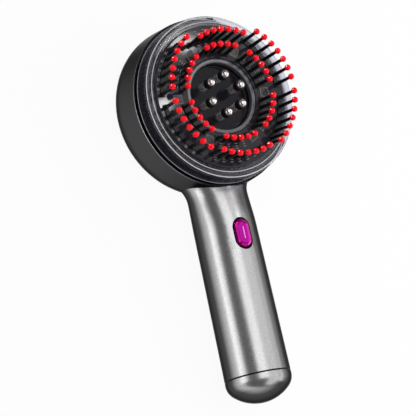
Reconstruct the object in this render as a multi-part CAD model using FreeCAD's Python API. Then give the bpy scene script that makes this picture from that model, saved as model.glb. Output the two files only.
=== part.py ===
# Red light scalp massager: round bristle head on a flared handle.
# Millimetres. The device lies on its back: +Z is the way the bristles point, the handle runs
# along -Y, and the origin is on the head's axis at the flat back of the housing.
import FreeCAD
import Part
import math
import os

V = FreeCAD.Vector

# Head housing
HEAD_RIM_R = 40.5
HEAD_SIDE_TAPER = 1.2
HEAD_DEPTH = 27.7
HEAD_BACK_ROUND = 14.5
HEAD_WALL = 2.5
HEAD_FLOOR = 2.4
HEAD_INNER_ROUND = 12.0
RIM_ROUND = 0.45

# Handle and neck
HANDLE_NECK_R = 14.55
HANDLE_END_R = 15.55
HANDLE_WALL = 2.15
NECK_FILLET = 11.0
NECK_BLEND = 16.0
NECK_RIM_DROP = 0.6
NECK_BITE = 0.8
NECK_STATIONS = 12
NECK_STRAIGHT = 6.0
REST_GAP = 0.1
WIRE_PASSAGE_R = 6.5
WIRE_PASSAGE_RISE = 2.3

# Fits shared by several pieces
SEAT_FIT = 0.1
SLIDE_FIT = 0.25
TURN_FIT = 0.3
SOCKET_FIT = 0.03
RUNNING_FIT = 0.04

# Lock collar and twist lock
GROOVE_WIDTH = 1.6
GROOVE_INSET = 1.5
FLANGE_GAP = 0.1
REGISTER_DEPTH = 2.5
REGISTER_WALL = 1.6
SPIGOT_HEIGHT = 3.8
SPIGOT_GAP = 1.2
SPIGOT_WALL = 5.5
WELL_WALL = 2.0
LEDGE_THICK = 2.2
LUG_COUNT = 3
LUG_FIRST_ANGLE = -70.0
LUG_ARC = 14.0
LUG_HEIGHT = 1.2
LUG_REACH = 1.2
LUG_RISE = 1.1
UNLOCK_ANGLE = 25.0
STOP_ARC = 1.0

# Clear brush cover
SKIRT_INSET = 0.8
SKIRT_TAPER = 0.4
SKIRT_WALL = 1.8
COVER_HEIGHT = 7.5
COVER_EDGE_ROUND = 2.4
RIM_WIDTH = 1.9
RIM_STEP = 0.6
PLATE_SEAT_WIDTH = 2.2
PLATE_SEAT_THICK = 1.6
PLATE_SINK = 0.8

# Bristle plate and bristles
PLATE_THICK = 2.2
COMB_SLOT_DEPTH = 1.2
COMB_PROUD = 0.6
COMB_FOOT_WIDTH = 2.2
COMB_END_MARGIN = 1.4
GROUPS = 6
GROUP_FIRST_ANGLE = 30.0
INNER_RING_SHARE = 0.6122
INNER_PER_GROUP = 5
INNER_PITCH = 10.0
INNER_HEIGHT = 8.2
INNER_SPLAY = 1.5
INNER_FROM_DISH = 2.8
OUTER_PER_GROUP = 7
OUTER_PITCH = 8.0
OUTER_HEIGHT = 11.2
OUTER_SPLAY = 1.2
OUTER_FROM_EDGE = 3.2
TOP_STRIP_CLEAR = 0.6
STEM_BASE_R = 0.9
STEM_TOP_R = 0.75
TIP_R = 1.46

# Red light path
WINDOW_SIZE = 4.6
LIGHT_FROM_COMB = 2.4
GUIDE_FLANGE = 0.6
GUIDE_FLANGE_THICK = 1.0
LED_SIZE = 3.5
LED_HEIGHT = 1.9
BOARD_THICK = 1.6
BOARD_MARGIN = 0.5
POST_CLEAR = 0.4
GASKET_THICK = 0.4
GASKET_WIDTH = 1.4
WINDOW_THICK = 1.4
TANK_OVER_WINDOW = 0.7

# Dish with roller balls
DISH_RING_WIDTH = 2.2
DISH_RING_ROUND = 0.7
DISH_DEPTH = 4.3
DISH_FLOOR = 1.0
DISH_FLANGE = 1.4
ROLLER_COUNT = 6
ROLLER_CIRCLE_SHARE = 0.5625
ROLLER_FIRST_ANGLE = 22.0
BALL_R = 2.1
BALL_HEIGHT = 8.9
BALL_LIP = 0.6
SEAT_R = 2.4
SEAT_UNDER_BALL = 2.6
TUBE_R = 2.2
TUBE_BORE_R = 1.5
SEAT_PLUG = 1.4
OIL_HOLE_R = 0.8
TANK_WALL = 1.2
TANK_FLOOR = 1.6
PLUG_HEAD_R = 4.6
PLUG_HEAD_THICK = 0.8
PLUG_SHANK_R = 3.0
PLUG_TAIL = 0.4

# Vibration motor
MOTOR_R = 6.0
MOTOR_LENGTH = 16.0
MOTOR_BACK_X = -12.0
MOTOR_NOSE_R = 2.5
MOTOR_NOSE = 1.5
SHAFT_R = 0.75
SHAFT_IN = 3.0
SHAFT_OUT = 8.5
WEIGHT_R = 5.2
WEIGHT_LENGTH = 6.0
WEIGHT_HUB_R = 1.9
WEIGHT_GAP = 1.0
BRACKET_WALL = 1.1
BRACKET_LENGTH = 12.0
BRACKET_BASE = 1.2
EAR_REACH = 6.8
EAR_THICK = 1.6
EAR_HEIGHT = 3.0
BOARD_OVER_MOTOR = 0.6
LEAD_R = 0.45
LEAD_SPACING = 3.0
LEAD_RUN = 1.2
LEAD_BEND = 2.0

# Screws and the posts that take them
SCREW_HEAD_R = 1.8
SCREW_HEAD_H = 1.2
SCREW_R = 0.95
SCREW_BITE = 5.0
RECESS_WIDTH = 0.5
RECESS_LENGTH = 2.0
RECESS_DEPTH = 0.6
POST_WALL = 1.6
COLLAR_SCREWS = 4
COLLAR_FIRST_ANGLE = 45.0
COLLAR_SCREW_CLEAR = 0.7
BOARD_SCREWS = 3
BOARD_FIRST_ANGLE = 90.0
BOARD_SCREW_INSET = 5.5

# Power button, set in the handle
BUTTON_SETBACK = 11.0
BUTTON_LENGTH = 13.6
BUTTON_WIDTH = 8.4
BUTTON_GAP = 0.25
BUTTON_FLANGE = 0.8
BUTTON_FLANGE_THICK = 1.0
BUTTON_PROUD = 1.0
BUTTON_CROWN = 1.5
BUTTON_TABLE = 0.45
BUTTON_TABLE_INSET = 0.9
BUTTON_BEVEL = 1.1
BUTTON_TRAVEL = 0.5
HOLE_BEVEL = 0.7
HOLE_BEVEL_DEPTH = 1.1

# Handle insides
BATTERY_R = 7.1
BATTERY_LENGTH = 49.0
BATTERY_NUB_R = 2.8
BATTERY_NUB = 1.0
TAB_THICK = 0.3
TAB_WIDTH = 5.0
TAB_DROP = 2.4
TAB_GAP = 0.05
BATTERY_FIT = 0.15
BATTERY_SETBACK = 11.5
BATTERY_LIFT = 0.7
CHASSIS_FROM_HEAD = 12.0
CHASSIS_END_WALL = 5.6
CABLE_CHANNEL_WIDTH = 10.0
CABLE_CHANNEL_DEPTH = 6.0
BOARD_OVER_BATTERY = 0.5
MAIN_BOARD_WIDTH = 19.0
MAIN_BOARD_SETBACK = 2.0
MAIN_BOARD_REAR_MARGIN = 1.5
MAIN_SCREW_X = 8.35
MAIN_SCREW_INSET = 2.6
SWITCH_SIZE = 6.0
SWITCH_HEIGHT = 3.4
STEM_R = 1.6
STEM_IN = 0.6
STEM_WELL = 0.7
PLUG_WIDTH = 8.0
PLUG_LENGTH = 4.5
PLUG_HEIGHT = 2.3
WIRE_COUNT = 4
WIRE_R = 0.5
WIRE_PITCH = 1.7
LED_PLUG_INSET = 4.65

# Handle end: charging port under the cap
CARRIER_GAP = 0.2
CARRIER_LENGTH = 7.8
CARRIER_FLANGE_THICK = 0.35
CARRIER_FLANGE_INSET = 0.4
SPIGOT_OUT = 5.6
PORT_SPIGOT_INSET = 3.55
SEAL_R = 0.6
SEAL_STAND = 0.15
SEAL_AT = 2.8
PORT_WIDTH = 8.94
PORT_HEIGHT = 3.26
PORT_LENGTH = 7.35
PORT_SHEET = 0.3
PORT_DEPTH = 6.5
TONGUE_WIDTH = 6.7
TONGUE_THICK = 0.7
TONGUE_SHORT = 0.6
PORT_BOARD_CLEAR = 1.45
PORT_BOARD_HEIGHT = 10.0
PORT_BOARD_THICK = 1.2
CARRIER_SCREW_INSET = 3.0
CARRIER_SCREW_DEEP = 5.0
CAP_LENGTH = 12.6
CAP_STRAIGHT = 1.4
CAP_WALL = 1.6
CAP_SHOULDER = 7.5
CAP_LIP_ROUND = 0.3

FULL_TURN = 360.0
SAME_POINT = 1e-6
SIDES = (-1, 1)

# Places worked out from the sizes above
axis_z = HANDLE_END_R + REST_GAP
head_back_r = HEAD_RIM_R + HEAD_SIDE_TAPER
cavity_r = HEAD_RIM_R - HEAD_WALL
bore_r = HANDLE_NECK_R - HANDLE_WALL

flange_r = HEAD_RIM_R - GROOVE_INSET
flange_top = HEAD_DEPTH + GROOVE_WIDTH - FLANGE_GAP
skirt_bottom = HEAD_DEPTH + GROOVE_WIDTH
skirt_r = HEAD_RIM_R - SKIRT_INSET
skirt_top_r = skirt_r - SKIRT_TAPER
skirt_inner_r = skirt_r - SKIRT_WALL
cover_top = skirt_bottom + COVER_HEIGHT
spigot_r = skirt_inner_r - SPIGOT_GAP
spigot_top = flange_top + SPIGOT_HEIGHT
well_r = spigot_r - SPIGOT_WALL

plate_seat_z = cover_top - RIM_STEP - PLATE_SINK
plate_r = skirt_top_r - COVER_EDGE_ROUND - RIM_WIDTH - SEAT_FIT - RIM_STEP
plate_top = plate_seat_z + PLATE_THICK
comb_top = plate_top + COMB_PROUD
inner_base_r = plate_r * INNER_RING_SHARE
dish_r = inner_base_r - INNER_FROM_DISH
dish_ring_in = dish_r - DISH_RING_WIDTH
roller_circle_r = dish_ring_in * ROLLER_CIRCLE_SHARE
dish_floor_z = plate_top - DISH_DEPTH + SEAT_FIT
plate_hole_r = dish_r + SEAT_FIT
dish_flange_r = plate_hole_r + DISH_FLANGE

outer_base_r = plate_r - OUTER_FROM_EDGE
light_r = inner_base_r + LIGHT_FROM_COMB
window_corner_r = math.hypot(light_r + WINDOW_SIZE / 2, WINDOW_SIZE / 2)
top_strip_r = window_corner_r + COMB_FOOT_WIDTH / 2 + TOP_STRIP_CLEAR
handle_strip_r = (top_strip_r + outer_base_r) / 2
group_middles = [GROUP_FIRST_ANGLE + k * FULL_TURN / GROUPS for k in range(GROUPS)]

motor_z = HEAD_FLOOR + BRACKET_BASE + MOTOR_R
motor_top = motor_z + MOTOR_R + SOCKET_FIT + BRACKET_WALL
led_board_z = motor_top + BOARD_OVER_MOTOR
led_board_top = led_board_z + BOARD_THICK
led_board_r = light_r + LED_SIZE / 2 + BOARD_MARGIN
post_r = SCREW_R + POST_WALL
collar_screw_r = well_r - SCREW_HEAD_R - COLLAR_SCREW_CLEAR
ledge_z = led_board_top + SCREW_HEAD_H + BOARD_MARGIN
ledge_top = ledge_z + LEDGE_THICK
ledge_in_r = collar_screw_r - SCREW_HEAD_R - BOARD_MARGIN
window_z = ledge_top + GASKET_THICK
window_top = window_z + WINDOW_THICK
tank_z = window_top + TANK_OVER_WINDOW
board_screw_r = led_board_r - BOARD_SCREW_INSET

led_plug_y = LED_PLUG_INSET - led_board_r

chassis_front = HEAD_RIM_R + CHASSIS_FROM_HEAD
button_at = chassis_front + BUTTON_SETBACK
battery_front = chassis_front + BATTERY_SETBACK
main_board_front = chassis_front + MAIN_BOARD_SETBACK
bore_front = chassis_front - SEAT_FIT
battery_end = battery_front + BATTERY_NUB + BATTERY_LENGTH
chassis_end = battery_end + TAB_THICK + 2 * TAB_GAP + CHASSIS_END_WALL
chassis_r = bore_r - SEAT_FIT
battery_v = -chassis_r + BATTERY_R + BATTERY_LIFT
board_v = battery_v + BATTERY_R + BOARD_OVER_BATTERY
main_board_end = battery_end + TAB_THICK + TAB_GAP + MAIN_BOARD_REAR_MARGIN
main_board_top = board_v + BOARD_THICK
switch_top = main_board_top + SWITCH_HEIGHT
carrier_front = chassis_end + CARRIER_GAP
handle_seam = carrier_front + CARRIER_LENGTH
spigot_end = handle_seam + SPIGOT_OUT
port_spigot_r = HANDLE_END_R - PORT_SPIGOT_INSET
carrier_screw_x = bore_r - CARRIER_SCREW_INSET
port_board_width = 2 * (carrier_screw_x - SCREW_R - PORT_BOARD_CLEAR)
cap_start = handle_seam + CARRIER_FLANGE_THICK + FLANGE_GAP
cap_end = handle_seam + CAP_LENGTH


def handle_radius(along):
    """Outer radius of the handle at a distance from the head's axis."""
    share = (handle_seam - along) / (handle_seam - neck_start)
    return HANDLE_END_R + (HANDLE_NECK_R - HANDLE_END_R) * share


def mix(a, b, share):
    """Value between a and b, eased at both ends."""
    share = min(max(share, 0.0), 1.0)
    eased = share * share * (3.0 - 2.0 * share)
    return a + (b - a) * eased


def at_handle(shape):
    """Turns a piece drawn with Z along the handle and Y up into its place."""
    turned = shape.copy()
    place = FreeCAD.Placement(V(0, 0, axis_z), FreeCAD.Rotation(V(1, 0, 0), 90))
    turned.Placement = place.multiply(turned.Placement)
    return turned


def turn(shape, angle, axis=V(0, 0, 1), centre=V(0, 0, 0)):
    """Copy of a shape turned about an axis."""
    copy = shape.copy()
    copy.rotate(centre, axis, angle)
    return copy


def around(shape, count, first=0.0):
    """Copies of a shape spaced evenly about the head's axis."""
    return [turn(shape, first + k * FULL_TURN / count) for k in range(count)]


def moved(shape, x=0.0, y=0.0, z=0.0):
    """Copy of a shape shifted by x, y, z."""
    copy = shape.copy()
    copy.translate(V(x, y, z))
    return copy


def tube(r_in, r_out, z0, z1):
    """Plain ring about Z."""
    outer = Part.makeCylinder(r_out, z1 - z0, V(0, 0, z0))
    return outer.cut(Part.makeCylinder(r_in, z1 - z0, V(0, 0, z0)))


def block(x0, x1, y0, y1, z0, z1):
    """Box between two corners."""
    return Part.makeBox(x1 - x0, y1 - y0, z1 - z0, V(x0, y0, z0))


def outline(corners):
    """Closed wire in the XZ plane through (r, z) or (r, z, rounding) corners."""
    points = [V(c[0], 0, c[1]) for c in corners]
    rounds = [c[2] if len(c) > 2 else 0.0 for c in corners]
    count = len(points)
    starts = []
    ends = []
    middles = []
    for k in range(count):
        back = (points[k - 1] - points[k]).normalize()
        ahead = (points[(k + 1) % count] - points[k]).normalize()
        if rounds[k] == 0.0:
            starts.append(points[k])
            ends.append(points[k])
            middles.append(None)
            continue
        half = back.getAngle(ahead) / 2
        run = rounds[k] / math.tan(half)
        inward = (back + ahead).normalize()
        centre = points[k] + inward * (rounds[k] / math.sin(half))
        starts.append(points[k] + back * run)
        ends.append(points[k] + ahead * run)
        middles.append(centre - inward * rounds[k])
    edges = []
    for k in range(count):
        if middles[k] is not None:
            edges.append(Part.Arc(starts[k], middles[k], ends[k]).toShape())
        following = starts[(k + 1) % count]
        if (following - ends[k]).Length > SAME_POINT:
            edges.append(Part.LineSegment(ends[k], following).toShape())
    return Part.Wire(edges)


def lathe(corners, angle=FULL_TURN):
    """Solid turned about Z from an outline of (r, z) corners."""
    return Part.Face(outline(corners)).revolve(V(0, 0, 0), V(0, 0, 1), angle)


def band(r_in, r_out, z0, z1, first, last):
    """Part of a ring between two angles."""
    whole = lathe([(r_in, z0), (r_out, z0), (r_out, z1), (r_in, z1)], last - first)
    return turn(whole, first)


def slot_wire(length, width, along, height):
    """Oval wire with straight sides along the handle, at a height over the handle's axis."""
    radius = width / 2
    run = length / 2 - radius
    corner = [V(x * radius, height, along + w * run) for x, w in ((1, -1), (1, 1), (-1, 1), (-1, -1))]
    far = V(0, height, along + run + radius)
    near = V(0, height, along - run - radius)
    edges = [
        Part.LineSegment(corner[0], corner[1]).toShape(),
        Part.Arc(corner[1], far, corner[2]).toShape(),
        Part.LineSegment(corner[2], corner[3]).toShape(),
        Part.Arc(corner[3], near, corner[0]).toShape(),
    ]
    return Part.Wire(edges)


def oval(length, width, low, high, along=button_at):
    """Oval prism that stands across the handle, between two heights over its axis."""
    return Part.Face(slot_wire(length, width, along, low)).extrude(V(0, high - low, 0))


def oval_taper(length, width, low, high, inset, along=button_at):
    """Oval prism whose upper end is smaller all round by an inset."""
    lower = slot_wire(length, width, along, low)
    upper = slot_wire(length - 2 * inset, width - 2 * inset, along, high)
    return Part.makeLoft([lower, upper], True, True)


def flat_oval(width, height, z0, z1):
    """Prism along Z with the flattened section of the charging port."""
    half = height / 2
    core = block(-width / 2 + half, width / 2 - half, -half, half, z0, z1)
    ends = [Part.makeCylinder(half, z1 - z0, V(x * (width / 2 - half), 0, z0)) for x in SIDES]
    return core.multiFuse(ends).removeSplitter()


def screw(length):
    """Pan head screw with a cross recess, its seat at the origin, pointing down."""
    head = Part.makeCylinder(SCREW_HEAD_R, SCREW_HEAD_H)
    shank = Part.makeCylinder(SCREW_R, length, V(0, 0, 0), V(0, 0, -1))
    half_w = RECESS_WIDTH / 2
    half_l = RECESS_LENGTH / 2
    low = SCREW_HEAD_H - RECESS_DEPTH
    recess = block(-half_w, half_w, -half_l, half_l, low, SCREW_HEAD_H)
    recess = recess.fuse(block(-half_l, half_l, -half_w, half_w, low, SCREW_HEAD_H))
    return head.fuse(shank).cut(recess).removeSplitter()


def polar(radius, angle, z=0.0):
    """Point at a radius and an angle about the head's axis."""
    turned = math.radians(angle)
    return V(radius * math.cos(turned), radius * math.sin(turned), z)


def places(count, first, radius, z=0.0):
    """Evenly spaced points on a circle about the head's axis."""
    return [polar(radius, first + k * FULL_TURN / count, z) for k in range(count)]


def save(name, shape):
    """Writes one piece, or one group of like pieces, to its own file."""
    if isinstance(shape, list):
        shape = Part.makeCompound(shape)
    shape.exportStep("parts/" + name + ".step")
    print(name, len(shape.Solids), "solid(s)", round(shape.Volume, 1), "mm3", shape.isValid())


# The neck's fillet touches the handle's side and bites a little into the head's side.
fillet_x = HANDLE_NECK_R + NECK_FILLET
neck_start = math.sqrt((HEAD_RIM_R - NECK_BITE + NECK_FILLET) ** 2 - fillet_x ** 2)
neck_end = neck_start * (HEAD_RIM_R - NECK_BITE) / (HEAD_RIM_R - NECK_BITE + NECK_FILLET)
round_run = max(neck_end - (head_back_r - HEAD_BACK_ROUND), 0.0)
neck_low = HEAD_BACK_ROUND - math.sqrt(HEAD_BACK_ROUND ** 2 - round_run ** 2) + NECK_BITE


def handle_section(along):
    """Ellipse across the handle or the neck, drawn with Z along the handle."""
    radius = handle_radius(max(along, neck_start))
    inside = max(neck_start - along, 0.0)
    half_width = radius + NECK_FILLET - math.sqrt(NECK_FILLET ** 2 - inside ** 2)
    share = (neck_start + NECK_BLEND - along) / (neck_start + NECK_BLEND - neck_end)
    top = mix(handle_radius(along), HEAD_DEPTH - NECK_RIM_DROP - axis_z, share)
    low = mix(-handle_radius(along), neck_low - axis_z, share)
    middle = V(0, (top + low) / 2, along)
    half_height = min((top - low) / 2, half_width)
    return Part.Wire(Part.Ellipse(middle, half_width, half_height).toShape())


def screw_posts(points, foot, radius):
    """Round posts from the floor of the head up to each point."""
    return [Part.makeCylinder(radius, p.z - foot, V(p.x, p.y, foot)) for p in points]


def pilot_holes(points, depth):
    """Holes that the screws bite into, down from each point."""
    return [Part.makeCylinder(SCREW_R, depth, p, V(0, 0, -1)) for p in points]


light_points = places(GROUPS, 0.0, light_r, ledge_z)
light_room_r = math.hypot(LED_SIZE / 2, LED_SIZE / 2) + SLIDE_FIT
collar_points = places(COLLAR_SCREWS, COLLAR_FIRST_ANGLE, collar_screw_r, ledge_z)
board_points = places(BOARD_SCREWS, BOARD_FIRST_ANGLE, board_screw_r, led_board_z)
ear_y = MOTOR_R + EAR_REACH
bracket_x0 = MOTOR_BACK_X + (MOTOR_LENGTH - BRACKET_LENGTH) / 2
ear_x = bracket_x0 + BRACKET_LENGTH / 2
ear_points = [V(ear_x, s * (ear_y - post_r), HEAD_FLOOR + EAR_HEIGHT) for s in SIDES]


def make_body_shell():
    """Head cup, neck and handle moulded as one hollow shell."""
    head = lathe([
        (0, 0),
        (head_back_r, 0, HEAD_BACK_ROUND),
        (HEAD_RIM_R, HEAD_DEPTH, RIM_ROUND),
        (0, HEAD_DEPTH),
    ])
    grip_start = neck_start + NECK_BLEND + NECK_STRAIGHT
    step = (grip_start - neck_end) / NECK_STATIONS
    stations = [grip_start - k * step for k in range(NECK_STATIONS + 1)]
    neck = Part.makeLoft([handle_section(w) for w in stations], True, False)
    grip_length = handle_seam - grip_start
    grip = Part.makeCone(handle_radius(grip_start), HANDLE_END_R, grip_length, V(0, 0, grip_start))
    shell = head.multiFuse([at_handle(neck), at_handle(grip)])
    cavity = lathe([
        (0, HEAD_FLOOR),
        (cavity_r, HEAD_FLOOR, HEAD_INNER_ROUND),
        (cavity_r, HEAD_DEPTH),
        (0, HEAD_DEPTH),
    ])
    bore = Part.makeCylinder(bore_r, handle_seam - bore_front, V(0, 0, bore_front))
    passage_run = bore_front - (cavity_r - HEAD_WALL)
    passage_foot = V(0, WIRE_PASSAGE_RISE, bore_front - passage_run)
    passage = Part.makeCylinder(WIRE_PASSAGE_R, passage_run, passage_foot)
    hole_gap = 2 * BUTTON_GAP
    hole = oval(BUTTON_LENGTH + hole_gap, BUTTON_WIDTH + hole_gap, 0, HANDLE_END_R + BUTTON_PROUD)
    button_top = handle_radius(button_at)
    bevel = oval_taper(
        BUTTON_LENGTH + hole_gap + 4 * HOLE_BEVEL,
        BUTTON_WIDTH + hole_gap + 4 * HOLE_BEVEL,
        button_top + HOLE_BEVEL_DEPTH,
        button_top - HOLE_BEVEL_DEPTH,
        2 * HOLE_BEVEL,
    )
    shell = shell.cut([cavity] + [at_handle(s) for s in (bore, passage, hole, bevel)])
    posts = screw_posts(collar_points, HEAD_FLOOR / 2, post_r)
    posts += screw_posts(board_points, HEAD_FLOOR / 2, post_r)
    posts += screw_posts(ear_points, HEAD_FLOOR / 2, post_r)
    shell = shell.multiFuse(posts)
    holes = pilot_holes(collar_points, SCREW_BITE + SEAT_FIT)
    holes += pilot_holes(board_points, SCREW_BITE + SEAT_FIT)
    holes += pilot_holes(ear_points, EAR_HEIGHT + SEAT_FIT)
    return shell.cut(holes)


lug_z = flange_top + LUG_RISE
lug_inner_r = spigot_r - LUG_REACH


def make_lock_collar():
    """Black ring screwed to the housing: the groove, the twist-lock spigot and the window's ledge."""
    well_out_r = well_r + WELL_WALL
    register_r = cavity_r - SEAT_FIT
    ring = lathe([
        (ledge_in_r, ledge_z),
        (well_out_r, ledge_z),
        (well_out_r, HEAD_DEPTH),
        (register_r - REGISTER_WALL, HEAD_DEPTH),
        (register_r - REGISTER_WALL, HEAD_DEPTH - REGISTER_DEPTH),
        (register_r, HEAD_DEPTH - REGISTER_DEPTH),
        (register_r, HEAD_DEPTH),
        (flange_r, HEAD_DEPTH),
        (flange_r, flange_top),
        (spigot_r, flange_top),
        (spigot_r, spigot_top, RIM_ROUND),
        (well_r, spigot_top, RIM_ROUND),
        (well_r, ledge_top),
        (ledge_in_r, ledge_top),
    ])
    half = LUG_ARC / 2 + STOP_ARC
    slot_floor_r = lug_inner_r - TURN_FIT
    low = lug_z - TURN_FIT
    high = lug_z + LUG_HEIGHT + TURN_FIT
    track = band(slot_floor_r, skirt_r, low, high, -half, UNLOCK_ANGLE + half)
    entry = band(slot_floor_r, skirt_r, low, cover_top, UNLOCK_ANGLE - half, UNLOCK_ANGLE + half)
    cuts = around(track.fuse(entry), LUG_COUNT, LUG_FIRST_ANGLE)
    cuts += [Part.makeCylinder(light_room_r, LEDGE_THICK, p) for p in light_points]
    for p in collar_points:
        cuts.append(Part.makeCylinder(SCREW_R + SEAT_FIT, LEDGE_THICK, p))
        seat = V(p.x, p.y, ledge_top - SCREW_HEAD_H)
        cuts.append(Part.makeCylinder(SCREW_HEAD_R + SEAT_FIT, SCREW_HEAD_H, seat))
    return ring.cut(cuts)


def make_clear_cover():
    """Clear skirt, rim and inner seat of the brush head, with its twist-lock lugs."""
    seat_in_r = plate_r - PLATE_SEAT_WIDTH
    under = plate_seat_z - PLATE_SEAT_THICK
    step_r = skirt_top_r - COVER_EDGE_ROUND - RIM_WIDTH / 2
    shell = lathe([
        (skirt_inner_r, skirt_bottom),
        (skirt_r, skirt_bottom, RIM_ROUND),
        (skirt_top_r, cover_top, COVER_EDGE_ROUND),
        (step_r, cover_top, RIM_STEP / 2),
        (step_r, cover_top - RIM_STEP),
        (plate_r + SEAT_FIT, cover_top - RIM_STEP),
        (plate_r + SEAT_FIT, plate_seat_z),
        (seat_in_r, plate_seat_z),
        (seat_in_r, under, RIM_STEP),
        (skirt_inner_r - SKIRT_TAPER, under, RIM_STEP),
    ])
    half = LUG_ARC / 2
    root_r = skirt_inner_r + SKIRT_WALL / 2
    lug = band(lug_inner_r, root_r, lug_z, lug_z + LUG_HEIGHT, -half, half)
    return shell.multiFuse(around(lug, LUG_COUNT, LUG_FIRST_ANGLE)).removeSplitter()


def group_angles(count, pitch):
    """Angles of one group's bristles, about the middle of the group."""
    return [(k - (count - 1) / 2) * pitch for k in range(count)]


def outer_strip_r(middle):
    """Radius of an outer strip: the top one and the one by the handle sit nearer the middle."""
    across = abs(math.cos(math.radians(middle)))
    if across > math.sin(math.radians(FULL_TURN / GROUPS / 4)):
        return outer_base_r
    if math.sin(math.radians(middle)) > 0:
        return top_strip_r
    return handle_strip_r


def foot_arc(base_r, count, pitch, margin):
    """Half the angle that the foot of a bristle strip covers."""
    return (count - 1) / 2 * pitch + math.degrees((STEM_BASE_R + margin) / base_r)


def make_comb(base_r, count, pitch, height, splay):
    """One moulded strip of bristles, about angle zero, and the red tips on it."""
    half = foot_arc(base_r, count, pitch, COMB_END_MARGIN - STEM_BASE_R)
    foot_z = plate_top - COMB_SLOT_DEPTH
    half_width = COMB_FOOT_WIDTH / 2
    foot = band(base_r - half_width, base_r + half_width, foot_z, comb_top, -half, half)
    base = V(base_r, 0, comb_top)
    tip = V(base_r + splay, 0, comb_top + height)
    way = (tip - base).normalize()
    flat = math.sqrt(TIP_R ** 2 - STEM_TOP_R ** 2)
    root = base - way * (COMB_PROUD / 2)
    stem_length = (tip - root).Length - flat
    stem = Part.makeCone(STEM_BASE_R, STEM_TOP_R, stem_length, root, way)
    cut_angle = -math.degrees(math.asin(flat / TIP_R))
    ball = Part.makeSphere(TIP_R, tip, way, cut_angle, 90, FULL_TURN)
    angles = group_angles(count, pitch)
    comb = foot.multiFuse([turn(stem, a) for a in angles])
    return comb, [turn(ball, a) for a in angles]


def comb_slot(base_r, count, pitch):
    """Slot in the plate that takes the foot of one strip."""
    half = foot_arc(base_r, count, pitch, COMB_END_MARGIN - STEM_BASE_R + SEAT_FIT)
    half_width = COMB_FOOT_WIDTH / 2 + SEAT_FIT
    low = plate_top - COMB_SLOT_DEPTH
    return band(base_r - half_width, base_r + half_width, low, plate_top, -half, half)


def make_bristle_plate():
    """Dark plate with slots for the strips and square windows for the light."""
    plate = lathe([
        (plate_hole_r, plate_seat_z),
        (plate_r, plate_seat_z),
        (plate_r, plate_top, RIM_STEP),
        (plate_hole_r, plate_top),
    ])
    inner = comb_slot(inner_base_r, INNER_PER_GROUP, INNER_PITCH)
    half = WINDOW_SIZE / 2
    window = block(light_r - half, light_r + half, -half, half, plate_seat_z, plate_top)
    cuts = around(inner, GROUPS, GROUP_FIRST_ANGLE)
    for middle in group_middles:
        cuts.append(turn(comb_slot(outer_strip_r(middle), OUTER_PER_GROUP, OUTER_PITCH), middle))
    cuts += around(window, GROUPS)
    return plate.cut(cuts)


def make_light_guides():
    """Clear square rods that bring the red light up through the plate."""
    half = WINDOW_SIZE / 2 - SEAT_FIT
    wide = WINDOW_SIZE / 2 + GUIDE_FLANGE
    rod = block(light_r - half, light_r + half, -half, half, tank_z, plate_top)
    flange_z = plate_seat_z - GUIDE_FLANGE_THICK
    flange = block(light_r - wide, light_r + wide, -wide, wide, flange_z, plate_seat_z)
    return around(rod.fuse(flange).removeSplitter(), GROUPS)


roller_points = places(ROLLER_COUNT, ROLLER_FIRST_ANGLE, roller_circle_r, dish_floor_z)
ball_z = dish_floor_z + BALL_HEIGHT
seat_low = ball_z - SEAT_UNDER_BALL


def make_dish():
    """Dark dish that the roller tubes stand in, with a flange under the plate."""
    wall_r = dish_ring_in + TANK_WALL
    flange_z = plate_seat_z - DISH_FLOOR
    cup = lathe([
        (0, dish_floor_z - DISH_FLOOR),
        (wall_r, dish_floor_z - DISH_FLOOR),
        (wall_r, flange_z),
        (dish_flange_r, flange_z),
        (dish_flange_r, plate_seat_z),
        (dish_ring_in, plate_seat_z),
        (dish_ring_in, dish_floor_z, DISH_RING_ROUND),
        (0, dish_floor_z),
    ])
    holes = [Part.makeCylinder(OIL_HOLE_R, DISH_FLOOR, p, V(0, 0, -1)) for p in roller_points]
    return cup.cut(holes)


def make_dish_ring():
    """Grey translucent ring round the dish."""
    return lathe([
        (dish_ring_in, plate_seat_z),
        (dish_r, plate_seat_z),
        (dish_r, plate_top + SEAT_FIT, DISH_RING_ROUND),
        (dish_ring_in, plate_top + SEAT_FIT, DISH_RING_ROUND),
    ])


def make_roller_tube():
    """Clear tube from the dish's floor to a ball seat, at the origin."""
    return tube(TUBE_BORE_R, TUBE_R, dish_floor_z, seat_low)


def make_ball_seat():
    """Black seat that wraps the ball past its middle and plugs into the tube, at the origin."""
    plug_r = TUBE_BORE_R - SOCKET_FIT
    seat = lathe([
        (OIL_HOLE_R, seat_low - SEAT_PLUG),
        (plug_r, seat_low - SEAT_PLUG),
        (plug_r, seat_low),
        (SEAT_R, seat_low),
        (SEAT_R, ball_z + BALL_LIP),
        (OIL_HOLE_R, ball_z + BALL_LIP),
    ])
    return seat.cut(Part.makeSphere(BALL_R + RUNNING_FIT, V(0, 0, ball_z)))


def make_tank():
    """Liquid tank under the dish, with its filler hole."""
    wall_r = dish_ring_in + TANK_WALL
    top = dish_floor_z - DISH_FLOOR - GASKET_THICK
    head_r = PLUG_HEAD_R + SEAT_FIT
    return lathe([
        (head_r, tank_z),
        (wall_r, tank_z, TANK_WALL),
        (wall_r, top),
        (dish_ring_in, top),
        (dish_ring_in, tank_z + TANK_FLOOR),
        (PLUG_SHANK_R, tank_z + TANK_FLOOR),
        (PLUG_SHANK_R, tank_z + PLUG_HEAD_THICK),
        (head_r, tank_z + PLUG_HEAD_THICK),
    ])


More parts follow.
